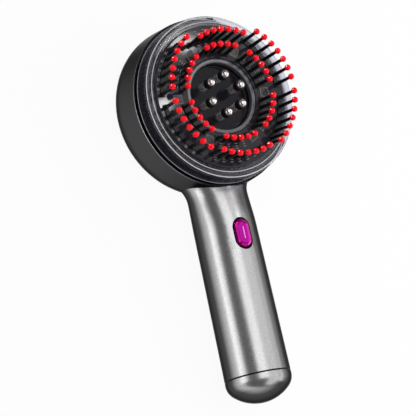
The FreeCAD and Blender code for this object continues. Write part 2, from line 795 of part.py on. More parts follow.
def make_filler_plug():
    """Soft plug in the tank's floor."""
    shank_r = PLUG_SHANK_R - SOCKET_FIT
    return lathe([
        (0, tank_z),
        (PLUG_HEAD_R, tank_z),
        (PLUG_HEAD_R, tank_z + PLUG_HEAD_THICK),
        (shank_r, tank_z + PLUG_HEAD_THICK),
        (shank_r, tank_z + TANK_FLOOR + PLUG_TAIL),
        (0, tank_z + TANK_FLOOR + PLUG_TAIL),
    ])


def make_led_board():
    """Round board that carries the red lights, clear of the collar's posts."""
    board = Part.makeCylinder(led_board_r, BOARD_THICK, V(0, 0, led_board_z))
    cuts = [Part.makeCylinder(SCREW_R + SEAT_FIT, BOARD_THICK, p) for p in board_points]
    for p in collar_points:
        cuts.append(Part.makeCylinder(post_r + POST_CLEAR, BOARD_THICK, V(p.x, p.y, led_board_z)))
    return board.cut(cuts)


def make_led():
    """One red light with its domed lens, at angle zero."""
    half = LED_SIZE / 2
    base_top = led_board_top + LED_HEIGHT / 2
    base = block(light_r - half, light_r + half, -half, half, led_board_top, base_top)
    lens = Part.makeCylinder(half - BOARD_MARGIN, LED_HEIGHT / 2, V(light_r, 0, base_top))
    return base.fuse(lens).removeSplitter()


motor_x = MOTOR_BACK_X + MOTOR_LENGTH
shaft_start = motor_x + MOTOR_NOSE - SHAFT_IN
weight_x = motor_x + MOTOR_NOSE + WEIGHT_GAP


def along_x(radius, x0, x1):
    """Cylinder on the motor's axis."""
    return Part.makeCylinder(radius, x1 - x0, V(x0, 0, motor_z), V(1, 0, 0))


def make_motor_can():
    """Motor body with the bearing nose that its shaft runs in."""
    can = along_x(MOTOR_R, MOTOR_BACK_X, motor_x)
    nose = along_x(MOTOR_NOSE_R, motor_x, motor_x + MOTOR_NOSE)
    bore = along_x(SHAFT_R + RUNNING_FIT, shaft_start - SEAT_FIT, motor_x + MOTOR_NOSE)
    return can.fuse(nose).cut(bore)


def make_eccentric_weight():
    """Half-round weight on a hub, which shakes the head as it turns."""
    end = weight_x + WEIGHT_LENGTH
    lobe = along_x(WEIGHT_R, weight_x, end)
    lobe = lobe.cut(block(weight_x, end, -WEIGHT_R, WEIGHT_R, motor_z, motor_z + WEIGHT_R))
    hub = along_x(WEIGHT_HUB_R, weight_x, end)
    bore = along_x(SHAFT_R + SOCKET_FIT, weight_x, end)
    return lobe.fuse(hub).cut(bore)


def make_motor_bracket():
    """Saddle and strap that hold the motor to the floor of the head."""
    x0 = bracket_x0
    x1 = bracket_x0 + BRACKET_LENGTH
    strap_r = MOTOR_R + SOCKET_FIT + BRACKET_WALL
    saddle = block(x0, x1, -strap_r, strap_r, HEAD_FLOOR, motor_z)
    ear_z = HEAD_FLOOR + EAR_HEIGHT
    ears = block(ear_x - post_r, ear_x + post_r, -ear_y, ear_y, ear_z, ear_z + EAR_THICK)
    body = saddle.multiFuse([along_x(strap_r, x0, x1), ears])
    cuts = [along_x(MOTOR_R + SOCKET_FIT, x0, x1)]
    cuts += [Part.makeCylinder(SCREW_R + SEAT_FIT, EAR_THICK, p) for p in ear_points]
    return body.cut(cuts).removeSplitter()


def make_motor_lead(y):
    """Wire from the back of the motor up to the underside of the LED board."""
    start = V(MOTOR_BACK_X, y, motor_z)
    bend = V(MOTOR_BACK_X - LEAD_RUN, y, motor_z)
    centre = bend + V(0, 0, LEAD_BEND)
    slant = math.sqrt(0.5) * LEAD_BEND
    middle = centre + V(-slant, 0, -slant)
    corner = centre + V(-LEAD_BEND, 0, 0)
    top = V(corner.x, y, led_board_z)
    path = Part.Wire([
        Part.LineSegment(start, bend).toShape(),
        Part.Arc(bend, middle, corner).toShape(),
        Part.LineSegment(corner, top).toShape(),
    ])
    section = Part.Wire(Part.Circle(start, V(1, 0, 0), LEAD_R).toShape())
    return path.makePipeShell([section], True, False)


flange_half = BUTTON_WIDTH / 2 + BUTTON_FLANGE
flange_v = math.sqrt(bore_r ** 2 - flange_half ** 2) - SEAT_FIT
button_v = handle_radius(button_at) + BUTTON_PROUD


def make_power_button():
    """Oval gem button: bevelled crown with a raised table, and a flange that keeps it in."""
    low = flange_v - BUTTON_FLANGE_THICK
    flange = oval(BUTTON_LENGTH + 2 * BUTTON_FLANGE, BUTTON_WIDTH + 2 * BUTTON_FLANGE, low, flange_v)
    stem = oval(BUTTON_LENGTH, BUTTON_WIDTH, flange_v, button_v - BUTTON_CROWN)
    table_v = button_v - BUTTON_TABLE
    crown = oval_taper(BUTTON_LENGTH, BUTTON_WIDTH, button_v - BUTTON_CROWN, table_v, BUTTON_BEVEL)
    table_length = BUTTON_LENGTH - 2 * BUTTON_BEVEL - 2 * BUTTON_TABLE_INSET
    table_width = BUTTON_WIDTH - 2 * BUTTON_BEVEL - 2 * BUTTON_TABLE_INSET
    table = oval_taper(table_length, table_width, table_v, button_v, BUTTON_TABLE)
    return at_handle(flange.multiFuse([stem, crown, table]))


def upright(radius, low, high, x=0.0, along=button_at):
    """Cylinder across the handle, drawn with Z along the handle."""
    return Part.makeCylinder(radius, high - low, V(x, low, along), V(0, 1, 0))


def make_switch_stem():
    """Actuator between the button and the switch."""
    return at_handle(upright(STEM_R, switch_top - STEM_IN, flange_v - BUTTON_FLANGE_THICK))


def make_switch_housing():
    """Push switch on the main board, with the well that its actuator dips into."""
    half = SWITCH_SIZE / 2
    box = block(-half, half, main_board_top, switch_top, button_at - half, button_at + half)
    well = upright(STEM_R + SEAT_FIT, switch_top - STEM_IN - STEM_WELL, switch_top)
    return at_handle(box.cut(well))


main_screw_alongs = (main_board_front + MAIN_SCREW_INSET, main_board_end - MAIN_SCREW_INSET)
main_screw_places = [(x * MAIN_SCREW_X, w) for x in SIDES for w in main_screw_alongs]


def make_main_board():
    """Board over the battery."""
    half = MAIN_BOARD_WIDTH / 2
    board = block(-half, half, board_v, main_board_top, main_board_front, main_board_end)
    holes = [upright(SCREW_R + SEAT_FIT, board_v, main_board_top, x, w) for x, w in main_screw_places]
    return at_handle(board.cut(holes))


def make_main_screws():
    """Screws that hold the main board to the chassis."""
    upward = turn(screw(SCREW_BITE), -90, V(1, 0, 0))
    return [at_handle(moved(upward, x, main_board_top, w)) for x, w in main_screw_places]


def make_chassis():
    """Tray that slides into the handle and carries the battery and the main board."""
    length = chassis_end - chassis_front
    rod = Part.makeCylinder(chassis_r, length, V(0, 0, chassis_front))
    wide = chassis_r + SEAT_FIT
    tray = rod.cut(block(-wide, wide, board_v, wide, chassis_front, chassis_end))
    pocket_r = BATTERY_R + BATTERY_FIT
    gap = TAB_THICK + 2 * TAB_GAP
    start = battery_front - gap
    stop = battery_end + gap
    pocket = Part.makeCylinder(pocket_r, stop - start, V(0, battery_v, start))
    mouth = block(-pocket_r, pocket_r, battery_v, wide, start, stop)
    half = CABLE_CHANNEL_WIDTH / 2
    channel = block(-half, half, board_v - CABLE_CHANNEL_DEPTH, wide, chassis_front, start)
    cuts = [pocket, mouth, channel]
    depth = SCREW_BITE - BOARD_THICK + SEAT_FIT
    cuts += [upright(SCREW_R, board_v - depth, board_v, x, w) for x, w in main_screw_places]
    pilot_end = chassis_end - CARRIER_SCREW_DEEP
    pilot = Part.makeCylinder(SCREW_R, CARRIER_SCREW_DEEP, V(0, 0, pilot_end))
    cuts += [moved(pilot, x * carrier_screw_x) for x in SIDES]
    return at_handle(tray.cut(cuts))


def make_battery():
    """Rechargeable cell with its contact nub towards the head."""
    nub = Part.makeCylinder(BATTERY_NUB_R, BATTERY_NUB, V(0, battery_v, battery_front))
    can = Part.makeCylinder(BATTERY_R, BATTERY_LENGTH, V(0, battery_v, battery_front + BATTERY_NUB))
    return at_handle(can.fuse(nub))


def make_battery_tabs():
    """Two strips from the ends of the cell up to the main board."""
    half = TAB_WIDTH / 2
    low = battery_v - TAB_DROP
    front = battery_front - TAB_GAP - TAB_THICK
    rear = battery_end + TAB_GAP
    return [at_handle(block(-half, half, low, board_v, w, w + TAB_THICK)) for w in (front, rear)]


harness_v = board_v - PLUG_HEIGHT / 2
led_plug_z = led_board_z - PLUG_HEIGHT / 2
main_plug_w = main_board_front + SEAT_FIT


def make_harness_plugs():
    """Wire plugs under the main board and under the LED board."""
    half = PLUG_WIDTH / 2
    board_end = block(
        -half, half, board_v - PLUG_HEIGHT, board_v, main_plug_w, main_plug_w + PLUG_LENGTH
    )
    led_end = block(
        -half, half, led_plug_y, led_plug_y + PLUG_LENGTH, led_board_z - PLUG_HEIGHT, led_board_z
    )
    return [at_handle(board_end), led_end]


def make_harness_wires():
    """Ribbon of wires from the main board, through the neck, to the LED board."""
    start_y = -main_plug_w
    wires = []
    for k in range(WIRE_COUNT):
        x = (k - (WIRE_COUNT - 1) / 2) * WIRE_PITCH
        start = V(x, start_y, axis_z + harness_v)
        end = V(x, led_plug_y, led_plug_z)
        run = (end - start).Length
        way = (end - start).normalize()
        wire = Part.makeCylinder(WIRE_R, run + 2 * WIRE_R, start - way * WIRE_R, way)
        room = block(x - WIRE_PITCH, x + WIRE_PITCH, start_y, led_plug_y, 0, HEAD_DEPTH)
        wires.append(wire.common(room))
    return wires


port_back = spigot_end - PORT_LENGTH
port_board_w = port_back - SEAT_FIT - PORT_BOARD_THICK
carrier_screw_seat = handle_seam - CARRIER_LENGTH / 2


def make_port_carrier():
    """End plug of the handle: it holds the charging port and the cap slides on its spigot."""
    plug = Part.makeCylinder(bore_r - SEAT_FIT, CARRIER_LENGTH, V(0, 0, carrier_front))
    flange_r = HANDLE_END_R - CARRIER_FLANGE_INSET
    flange = Part.makeCylinder(flange_r, CARRIER_FLANGE_THICK, V(0, 0, handle_seam))
    spigot = Part.makeCylinder(port_spigot_r, SPIGOT_OUT, V(0, 0, handle_seam))
    body = plug.multiFuse([flange, spigot])
    groove_half = SEAL_R + SEAT_FIT
    groove_w = handle_seam + SEAL_AT
    groove_r = port_spigot_r + SEAL_STAND - 2 * SEAL_R - SEAT_FIT
    groove = tube(groove_r, port_spigot_r, groove_w - groove_half, groove_w + groove_half)
    gap = 2 * SEAT_FIT
    mouth = flat_oval(PORT_WIDTH + gap, PORT_HEIGHT + gap, port_back - SEAT_FIT, spigot_end)
    half_w = port_board_width / 2 + SEAT_FIT
    half_h = PORT_BOARD_HEIGHT / 2 + SEAT_FIT
    pocket = block(-half_w, half_w, -half_h, half_h, carrier_front, port_back - SEAT_FIT)
    cuts = [groove, mouth, pocket]
    for x in SIDES:
        through = V(x * carrier_screw_x, 0, carrier_front)
        seat = V(x * carrier_screw_x, 0, carrier_screw_seat)
        cuts.append(Part.makeCylinder(SCREW_R + SEAT_FIT, carrier_screw_seat - carrier_front, through))
        cuts.append(Part.makeCylinder(SCREW_HEAD_R + SEAT_FIT, spigot_end - carrier_screw_seat, seat))
    return at_handle(body.cut(cuts))


def make_charging_port():
    """Flattened socket shell with the contact tongue inside."""
    shell = flat_oval(PORT_WIDTH, PORT_HEIGHT, port_back, spigot_end)
    sheet = 2 * PORT_SHEET
    inside = flat_oval(PORT_WIDTH - sheet, PORT_HEIGHT - sheet, spigot_end - PORT_DEPTH, spigot_end)
    half_w = TONGUE_WIDTH / 2
    half_t = TONGUE_THICK / 2
    tongue = block(-half_w, half_w, -half_t, half_t, port_back, spigot_end - TONGUE_SHORT)
    return at_handle(shell.cut(inside).fuse(tongue).removeSplitter())


def make_port_board():
    """Small board behind the charging port."""
    half_w = port_board_width / 2
    half_h = PORT_BOARD_HEIGHT / 2
    rear = port_board_w + PORT_BOARD_THICK
    return at_handle(block(-half_w, half_w, -half_h, half_h, port_board_w, rear))


def make_carrier_screws():
    """Two screws from the end of the handle into the chassis."""
    length = carrier_screw_seat - chassis_end + CARRIER_SCREW_DEEP - SEAT_FIT
    one = moved(screw(length), 0, 0, carrier_screw_seat)
    return [at_handle(moved(one, x * carrier_screw_x)) for x in SIDES]


def make_port_seal():
    """Soft ring in the spigot's groove."""
    ring_r = port_spigot_r + SEAL_STAND - SEAL_R
    return at_handle(Part.makeTorus(ring_r, SEAL_R, V(0, 0, handle_seam + SEAL_AT)))


def cap_form(inset):
    """Rounded end of the handle as a solid, smaller all round by an inset.

    The dome is a shoulder arc that meets the straight side, and a flatter crown arc."""
    straight_end = cap_start + CAP_STRAIGHT
    dome = cap_end - straight_end
    reach = HANDLE_END_R - CAP_SHOULDER
    crown_r = (reach ** 2 + dome ** 2 - CAP_SHOULDER ** 2) / (2 * (dome - CAP_SHOULDER))
    shoulder = V(reach, 0, straight_end)
    crown = V(0, 0, cap_end - crown_r)
    up = V(0, 0, 1)
    way = (shoulder - crown).normalize()
    bend = (V(1, 0, 0) + way).normalize()
    rise = (way + up).normalize()
    foot = V(HANDLE_END_R - inset, 0, cap_start)
    side = V(HANDLE_END_R - inset, 0, straight_end)
    join = shoulder + way * (CAP_SHOULDER - inset)
    pole = crown + up * (crown_r - inset)
    middle = V(0, 0, cap_start)
    edges = [
        Part.LineSegment(foot, side).toShape(),
        Part.Arc(side, shoulder + bend * (CAP_SHOULDER - inset), join).toShape(),
        Part.Arc(join, crown + rise * (crown_r - inset), pole).toShape(),
        Part.LineSegment(pole, middle).toShape(),
        Part.LineSegment(middle, foot).toShape(),
    ]
    return Part.Face(Part.Wire(edges)).revolve(V(0, 0, 0), V(0, 0, 1), FULL_TURN)


def make_end_cap():
    """Hollow rounded cap that pulls off the end of the handle."""
    bore = Part.makeCylinder(port_spigot_r + SLIDE_FIT, CAP_LENGTH, V(0, 0, cap_start))
    hollow = bore.common(cap_form(CAP_WALL))
    wide = HANDLE_END_R + CAP_LIP_ROUND
    lip_end = cap_start + 2 * CAP_LIP_ROUND
    lip = Part.makeCone(HANDLE_END_R - CAP_LIP_ROUND, wide, 2 * CAP_LIP_ROUND, V(0, 0, cap_start))
    room = lip.fuse(Part.makeCylinder(wide, CAP_LENGTH, V(0, 0, lip_end)))
    return at_handle(cap_form(0.0).common(room).cut(hollow))


def stand_at(shape, points):
    """Copies of an upright piece, one at each point."""
    return [moved(shape, p.x, p.y) for p in points]


os.makedirs("parts", exist_ok=True)

save("body_shell", make_body_shell())
save("lock_collar", make_lock_collar())
collar_seat_z = ledge_top - SCREW_HEAD_H
collar_screw = moved(screw(SCREW_BITE + LEDGE_THICK - SCREW_HEAD_H), z=collar_seat_z)
save("collar_screws", stand_at(collar_screw, collar_points))
save("window_gasket", tube(well_r - SEAT_FIT - GASKET_WIDTH, well_r - SEAT_FIT, ledge_top, window_z))
save("led_window", Part.makeCylinder(well_r - SEAT_FIT, WINDOW_THICK, V(0, 0, window_z)))
save("led_board", make_led_board())
save("red_leds", around(make_led(), GROUPS))
board_screw = moved(screw(SCREW_BITE + BOARD_THICK), z=led_board_top)
save("led_board_screws", stand_at(board_screw, board_points))

save("motor_can", make_motor_can())
save("motor_bracket", make_motor_bracket())
ear_screw = moved(screw(EAR_HEIGHT + EAR_THICK), z=HEAD_FLOOR + EAR_HEIGHT + EAR_THICK)
save("motor_screws", stand_at(ear_screw, ear_points))
save("motor_leads", [make_motor_lead(s * LEAD_SPACING / 2) for s in SIDES])
save("motor_shaft", along_x(SHAFT_R, shaft_start, motor_x + MOTOR_NOSE + SHAFT_OUT))
save("eccentric_weight", make_eccentric_weight())

save("clear_cover", make_clear_cover())
save("bristle_plate", make_bristle_plate())
inner_comb, inner_tips = make_comb(inner_base_r, INNER_PER_GROUP, INNER_PITCH, INNER_HEIGHT, INNER_SPLAY)
save("inner_combs", around(inner_comb, GROUPS, GROUP_FIRST_ANGLE))
save("inner_tips", [b for tip in inner_tips for b in around(tip, GROUPS, GROUP_FIRST_ANGLE)])
outer_combs = []
outer_tips = []
for middle in group_middles:
    strip_r = outer_strip_r(middle)
    comb, tips = make_comb(strip_r, OUTER_PER_GROUP, OUTER_PITCH, OUTER_HEIGHT, OUTER_SPLAY)
    outer_combs.append(turn(comb, middle))
    outer_tips += [turn(tip, middle) for tip in tips]
save("outer_combs", outer_combs)
save("outer_tips", outer_tips)
save("light_guides", make_light_guides())
save("applicator_dish", make_dish())
save("dish_ring", make_dish_ring())
save("roller_tubes", stand_at(make_roller_tube(), roller_points))
save("ball_seats", stand_at(make_ball_seat(), roller_points))
for number, p in enumerate(roller_points, 1):
    save("roller_ball_" + str(number), Part.makeSphere(BALL_R, V(p.x, p.y, ball_z)))
save("oil_tank", make_tank())
tank_top = dish_floor_z - DISH_FLOOR - GASKET_THICK
save("tank_gasket", tube(dish_ring_in, dish_ring_in + TANK_WALL, tank_top, tank_top + GASKET_THICK))
save("filler_plug", make_filler_plug())

save("power_button", make_power_button())
save("switch_stem", make_switch_stem())
save("switch_housing", make_switch_housing())
save("main_board", make_main_board())
save("main_board_screws", make_main_screws())
save("chassis", make_chassis())
save("battery_cell", make_battery())
save("battery_tabs", make_battery_tabs())
save("harness_plugs", make_harness_plugs())
save("harness_wires", make_harness_wires())

save("port_carrier", make_port_carrier())
save("charging_port", make_charging_port())
save("port_board", make_port_board())
save("carrier_screws", make_carrier_screws())
save("port_seal", make_port_seal())
save("end_cap", make_end_cap())
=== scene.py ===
# %% [markdown]
# # A red light scalp massager
# The device lies on its back with the bristles up. Its solids come in ready made and stay where
# they are. This lesson gives every surface a finish, models the small things that the solids
# leave out, and sets up a studio with the camera where the photographer stood.

# %% Load the solids
import bpy
import math
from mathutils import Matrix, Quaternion, Vector


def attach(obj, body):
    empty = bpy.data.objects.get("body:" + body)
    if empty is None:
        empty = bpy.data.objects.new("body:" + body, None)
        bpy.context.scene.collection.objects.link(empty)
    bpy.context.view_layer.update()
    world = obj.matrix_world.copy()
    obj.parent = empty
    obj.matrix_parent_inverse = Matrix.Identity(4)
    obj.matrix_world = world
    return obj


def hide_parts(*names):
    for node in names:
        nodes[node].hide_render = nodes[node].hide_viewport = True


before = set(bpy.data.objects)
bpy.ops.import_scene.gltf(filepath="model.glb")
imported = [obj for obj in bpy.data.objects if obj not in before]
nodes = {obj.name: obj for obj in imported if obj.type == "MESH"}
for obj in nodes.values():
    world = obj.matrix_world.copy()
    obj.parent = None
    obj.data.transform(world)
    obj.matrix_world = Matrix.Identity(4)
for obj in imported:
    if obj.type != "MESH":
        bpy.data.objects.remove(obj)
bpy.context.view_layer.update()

# %% [markdown]
# ## The camera
# A long lens from far off keeps the head's circle a clean ellipse, as product photographers like
# it. A camera could be aimed at a target, but that gives no say over its roll. The three angles
# were found by fitting the rings of bristle tips, so they are given as tilt, lean and turn.

# %% Camera
PHOTO_PIXELS = 416
SENSOR_WIDTH = 36.0
FOCAL_PIXELS = 3213.6
CAMERA_PLACE = (-0.7805, -0.3093, 1.2581)
CAMERA_ANGLES = (17.29, -28.95, -14.03)

camera_data = bpy.data.cameras.new("photo_camera")
camera_data.sensor_width = SENSOR_WIDTH
camera_data.lens = FOCAL_PIXELS / PHOTO_PIXELS * SENSOR_WIDTH
camera = bpy.data.objects.new("photo_camera", camera_data)
camera.location = CAMERA_PLACE
camera.rotation_euler = [math.radians(a) for a in CAMERA_ANGLES]
bpy.context.scene.collection.objects.link(camera)
bpy.context.scene.camera = camera
bpy.context.scene.view_settings.view_transform = "Standard"
print("lens", round(camera_data.lens), "mm")

# %% [markdown]
# ## Fine grain
# Moulded plastic and metal flake both have a fine grain that is the same all over. An image could
# hold it, but a noise on the object's own coordinates needs no unwrapping and shows no seam. It
# is built once as a node group, and each material sets how fine and how strong it is.

# %% Fine grain
GRAIN_DETAIL = 2.0
MASK_MIDDLE = 0.5


def new_group(name, inputs, output):
    """Makes an empty shader group with value sockets, and returns it with its two end nodes."""
    group = bpy.data.node_groups.new(name, "ShaderNodeTree")
    for label in inputs:
        group.interface.new_socket(label, in_out="INPUT", socket_type="NodeSocketFloat")
    group.interface.new_socket(output, in_out="OUTPUT", socket_type="NodeSocketFloat")
    return group, group.nodes.new("NodeGroupInput"), group.nodes.new("NodeGroupOutput")


def scaled_noise(group, start, detail):
    """Noise on object coordinates whose scale is the group's own Scale."""
    place = group.nodes.new("ShaderNodeTexCoord")
    noise = group.nodes.new("ShaderNodeTexNoise")
    noise.inputs["Detail"].default_value = detail
    group.links.new(place.outputs["Object"], noise.inputs["Vector"])
    group.links.new(start.outputs["Scale"], noise.inputs["Scale"])
    return noise


def build_grain():
    """Fine grain: a mask about the middle, spread out by contrast."""
    group, start, end = new_group("fine_grain", ["Scale", "Contrast"], "Mask")
    noise = scaled_noise(group, start, GRAIN_DETAIL)
    centre = group.nodes.new("ShaderNodeMath")
    centre.operation = "SUBTRACT"
    centre.inputs[1].default_value = MASK_MIDDLE
    spread = group.nodes.new("ShaderNodeMath")
    spread.operation = "MULTIPLY_ADD"
    spread.inputs[2].default_value = MASK_MIDDLE
    spread.use_clamp = True
    group.links.new(noise.outputs["Fac"], centre.inputs[0])
    group.links.new(centre.outputs[0], spread.inputs[0])
    group.links.new(start.outputs["Contrast"], spread.inputs[1])
    group.links.new(spread.outputs[0], end.inputs["Mask"])
    return group


fine_grain = build_grain()
print("group", fine_grain.name, "with", len(fine_grain.nodes), "nodes")

# %% [markdown]
# ## Handling smudges
# Anything glossy that is handled carries faint smudges, which dull it in soft patches. Painting
# them by hand would serve one piece only, so a swirled noise serves them all. Smudges change only
# how rough the surface is, so the group puts out a roughness between a low and a high value.

# %% Handling smudges
SMUDGE_DETAIL = 6.0
SMUDGE_SWIRL = 0.8
PATCH_START, PATCH_END = 0.35, 0.7


def build_smudge():
    """Handling marks: soft patches with finer streaks inside them, as a roughness value."""
    group, start, end = new_group("handling_smudge", ["Scale", "Low", "High"], "Roughness")
    patches = scaled_noise(group, start, SMUDGE_DETAIL)
    patches.inputs["Distortion"].default_value = SMUDGE_SWIRL
    span = group.nodes.new("ShaderNodeMapRange")
    span.inputs["From Min"].default_value = PATCH_START
    span.inputs["From Max"].default_value = PATCH_END
    group.links.new(patches.outputs["Fac"], span.inputs["Value"])
    group.links.new(start.outputs["Low"], span.inputs["To Min"])
    group.links.new(start.outputs["High"], span.inputs["To Max"])
    group.links.new(span.outputs["Result"], end.inputs["Roughness"])
    return group


handling_smudge = build_smudge()
print("group", handling_smudge.name, "with", len(handling_smudge.nodes), "nodes")

# %% [markdown]
# ## Material helpers
# Every finish of the device is one Principled shader with a few nodes in front of it. Each tree
# could be wired from scratch, but the steps that they share are shorter as functions: start a
# material, place a group, dull it by smudges, mix two shades by a mask, raise a bump, and finish
# solids by name.

# %% Material helpers
# A colour Mix node has value, vector and colour sockets of the same name, so these go by number.
MIX_A, MIX_B, MIX_RESULT = 6, 7, 2


def new_material(name):
    """A node material with its Principled shader ready to set."""
    material = bpy.data.materials.new(name)
    material.use_nodes = True
    return material, material.node_tree, material.node_tree.nodes["Principled BSDF"]


def place_group(tree, group, **values):
    """Puts a shared group into a material and sets its inputs."""
    node = tree.nodes.new("ShaderNodeGroup")
    node.node_tree = group
    for label, value in values.items():
        node.inputs[label].default_value = value
    return node


def add_smudge(tree, shader, scale, low, high):
    """Lets smudges set how rough the surface is."""
    smudge = place_group(tree, handling_smudge, Scale=scale, Low=low, High=high)
    tree.links.new(smudge.outputs["Roughness"], shader.inputs["Roughness"])


def two_tone(tree, mask, first, second):
    """Goes from one colour to another by a mask. The first may come from another node."""
    mix = tree.nodes.new("ShaderNodeMix")
    mix.data_type = "RGBA"
    if isinstance(first, bpy.types.NodeSocket):
        tree.links.new(first, mix.inputs[MIX_A])
    else:
        mix.inputs[MIX_A].default_value = (*first, 1.0)
    mix.inputs[MIX_B].default_value = (*second, 1.0)
    tree.links.new(mask, mix.inputs["Factor"])
    return mix.outputs[MIX_RESULT]


def add_bump(tree, shader, height, strength, depth):
    """Raises the surface a little where a height mask is high."""
    bump = tree.nodes.new("ShaderNodeBump")
    bump.inputs["Strength"].default_value = strength
    bump.inputs["Distance"].default_value = depth
    tree.links.new(height, bump.inputs["Height"])
    tree.links.new(bump.outputs["Normal"], shader.inputs["Normal"])


def finish_nodes(material, *names):
    """Gives a finish to solids by name."""
    for name in names:
        slots = nodes[name].data.materials
        slots.clear()
        slots.append(material)
    print(material.name, "on", ", ".join(names))


print("finishes to give:", len(nodes), "solids")

# %% [markdown]
# ## Masks by place
# On two pieces the colour changes at a fixed place: the cup's lip is black as painted shade of
# the groove, and the clear cover is tinted dark inside as painted shade. Each could be cut into
# two pieces, but the real ones are single mouldings. So a mask picks the place by its distance
# from the head's axis and its height.

# %% Masks by place
LEVEL_PLANE = (1.0, 1.0, 0.0)


def compare(tree, value, operation, limit):
    """One where a value is above or below a limit."""
    node = tree.nodes.new("ShaderNodeMath")
    node.operation = operation
    node.inputs[1].default_value = limit
    tree.links.new(value, node.inputs[0])
    return node.outputs[0]


def axis_distance(tree):
    """Distance of the point being shaded from the head's axis."""
    place = tree.nodes.new("ShaderNodeTexCoord")
    flat = tree.nodes.new("ShaderNodeVectorMath")
    flat.operation = "MULTIPLY"
    flat.inputs[1].default_value = LEVEL_PLANE
    distance = tree.nodes.new("ShaderNodeVectorMath")
    distance.operation = "LENGTH"
    tree.links.new(place.outputs["Object"], flat.inputs[0])
    tree.links.new(flat.outputs["Vector"], distance.inputs[0])
    return distance.outputs["Value"]


def place_height(tree):
    """Height of the point being shaded."""
    place = tree.nodes.new("ShaderNodeTexCoord")
    split = tree.nodes.new("ShaderNodeSeparateXYZ")
    tree.links.new(place.outputs["Object"], split.inputs["Vector"])
    return split.outputs["Z"]


def inside_mask(tree, widest, operation, level):
    """One within a radius of the head's axis and above or below a level."""
    near = compare(tree, axis_distance(tree), "LESS_THAN", widest)
    on_side = compare(tree, place_height(tree), operation, level)
    both = tree.nodes.new("ShaderNodeMath")
    both.operation = "MULTIPLY"
    tree.links.new(near, both.inputs[0])
    tree.links.new(on_side, both.inputs[1])
    return both.outputs[0]


print("masks by radius and height, for body_shell and clear_cover")

# %% [markdown]
# ## Gunmetal paint
# The housing and the end cap are sprayed with a satin metallic paint. Its flakes lie flat in the
# lacquer, so they mirror the light when looked at squarely and show their dark edges from the
# side. Painters call this the flop. It could be a stack of coats, but one metal whose colour
# follows Layer Weight is simpler and gives the same sheen. The dark side colour goes further than
# flop alone: it is partly painted shade, a painted dark reflection at the sides of the handle and
# cup. A very fine grain gives the sparkle.
# The lip inside the cup's rim is black: painted shade of the groove, which also takes the
# highlight off the lip's rounded edge.

# %% Gunmetal paint
FLAKE_SCALE = 2400.0
FLAKE_CONTRAST = 2.2
FLAKE_DARK = (0.36, 0.357, 0.362)
FLAKE_LIGHT = (0.54, 0.537, 0.543)
FLAKE_BUMP, FLAKE_DEPTH = 0.05, 0.00003
# The dark side colour is partly flake flop and partly painted shade at the sides.
FLOP_AND_SHADE_DARK = (0.068, 0.067, 0.069)
EDGE_DARK = (0.32, 0.32, 0.32)
FLOP_SHADE_START, FLOP_SHADE_END = 0.16, 0.41
PAINT_SMUDGE = 35.0
PAINT_SMOOTH, PAINT_ROUGH = 0.265, 0.285
# Black lip: painted shade of the groove inside the cup's rim.
GROOVE_SHADE_BLACK = (0.010, 0.010, 0.011)
LIP_RADIUS = 0.0404
LIP_HEIGHT = 0.02735


def make_housing_paint():
    """Metallic paint, light when seen squarely and dark from the side, by flop and painted shade.
    """
    material, tree, shader = new_material("gunmetal_paint")
    flakes = place_group(tree, fine_grain, Scale=FLAKE_SCALE, Contrast=FLAKE_CONTRAST)
    angle = tree.nodes.new("ShaderNodeLayerWeight")
    flop_and_shade = tree.nodes.new("ShaderNodeMapRange")
    flop_and_shade.interpolation_type = "SMOOTHSTEP"
    flop_and_shade.inputs["From Min"].default_value = FLOP_SHADE_START
    flop_and_shade.inputs["From Max"].default_value = FLOP_SHADE_END
    tree.links.new(angle.outputs["Facing"], flop_and_shade.inputs["Value"])
    sparkle = two_tone(tree, flakes.outputs["Mask"], FLAKE_DARK, FLAKE_LIGHT)
    # Towards the sides the paint turns to the dark colour: flop and painted shade in one.
    paint = two_tone(tree, flop_and_shade.outputs["Result"], sparkle, FLOP_AND_SHADE_DARK)
    # The lip is painted black as shade of the groove.
    lip_shade = inside_mask(tree, LIP_RADIUS, "GREATER_THAN", LIP_HEIGHT)
    tree.links.new(two_tone(tree, lip_shade, paint, GROOVE_SHADE_BLACK), shader.inputs["Base Color"])
    shader.inputs["Specular Tint"].default_value = (*EDGE_DARK, 1.0)
    shader.inputs["Metallic"].default_value = 1.0
    add_smudge(tree, shader, PAINT_SMUDGE, PAINT_SMOOTH, PAINT_ROUGH)
    add_bump(tree, shader, flakes.outputs["Mask"], FLAKE_BUMP, FLAKE_DEPTH)
    return material


finish_nodes(make_housing_paint(), "body_shell", "end_cap")

# %% [markdown]
# ## Plastics of the brush head
# The plate, dish and bristles are black mouldings, glossy where the mould was polished, and the
# bristles end in soft red balls. Each could have its own set of nodes. One recipe keeps them
# even: a two-tone grain, a slight bump where the mould was textured, and a gloss. Black plastic
# in soft light turns grey unless its gloss is held low, so that number differs most.

# %% Plastics of the brush head
MOULD_CONTRAST = 1.6
MOULD_LEAST_LIFT = 0.004
MOULD_SMUDGE = 90.0
MOULD_DEPTH = 0.00004
ROUGH_SPREAD = 0.15


def moulded(name, colour, roughness, grain=1800.0, bump=0.15, lift=1.35, gloss=0.5):
    """Plastic or rubber with a fine moulded grain."""
    material, tree, shader = new_material(name)
    mask = place_group(tree, fine_grain, Scale=grain, Contrast=MOULD_CONTRAST)
    light = [min(c * lift + MOULD_LEAST_LIFT, 1.0) for c in colour]
    grained = two_tone(tree, mask.outputs["Mask"], colour, light)
    tree.links.new(grained, shader.inputs["Base Color"])
    low, high = roughness * (1 - ROUGH_SPREAD), roughness * (1 + ROUGH_SPREAD)
    add_smudge(tree, shader, MOULD_SMUDGE, low, high)
    shader.inputs["Specular IOR Level"].default_value = gloss
    if bump:
        add_bump(tree, shader, mask.outputs["Mask"], bump, MOULD_DEPTH)
    return material
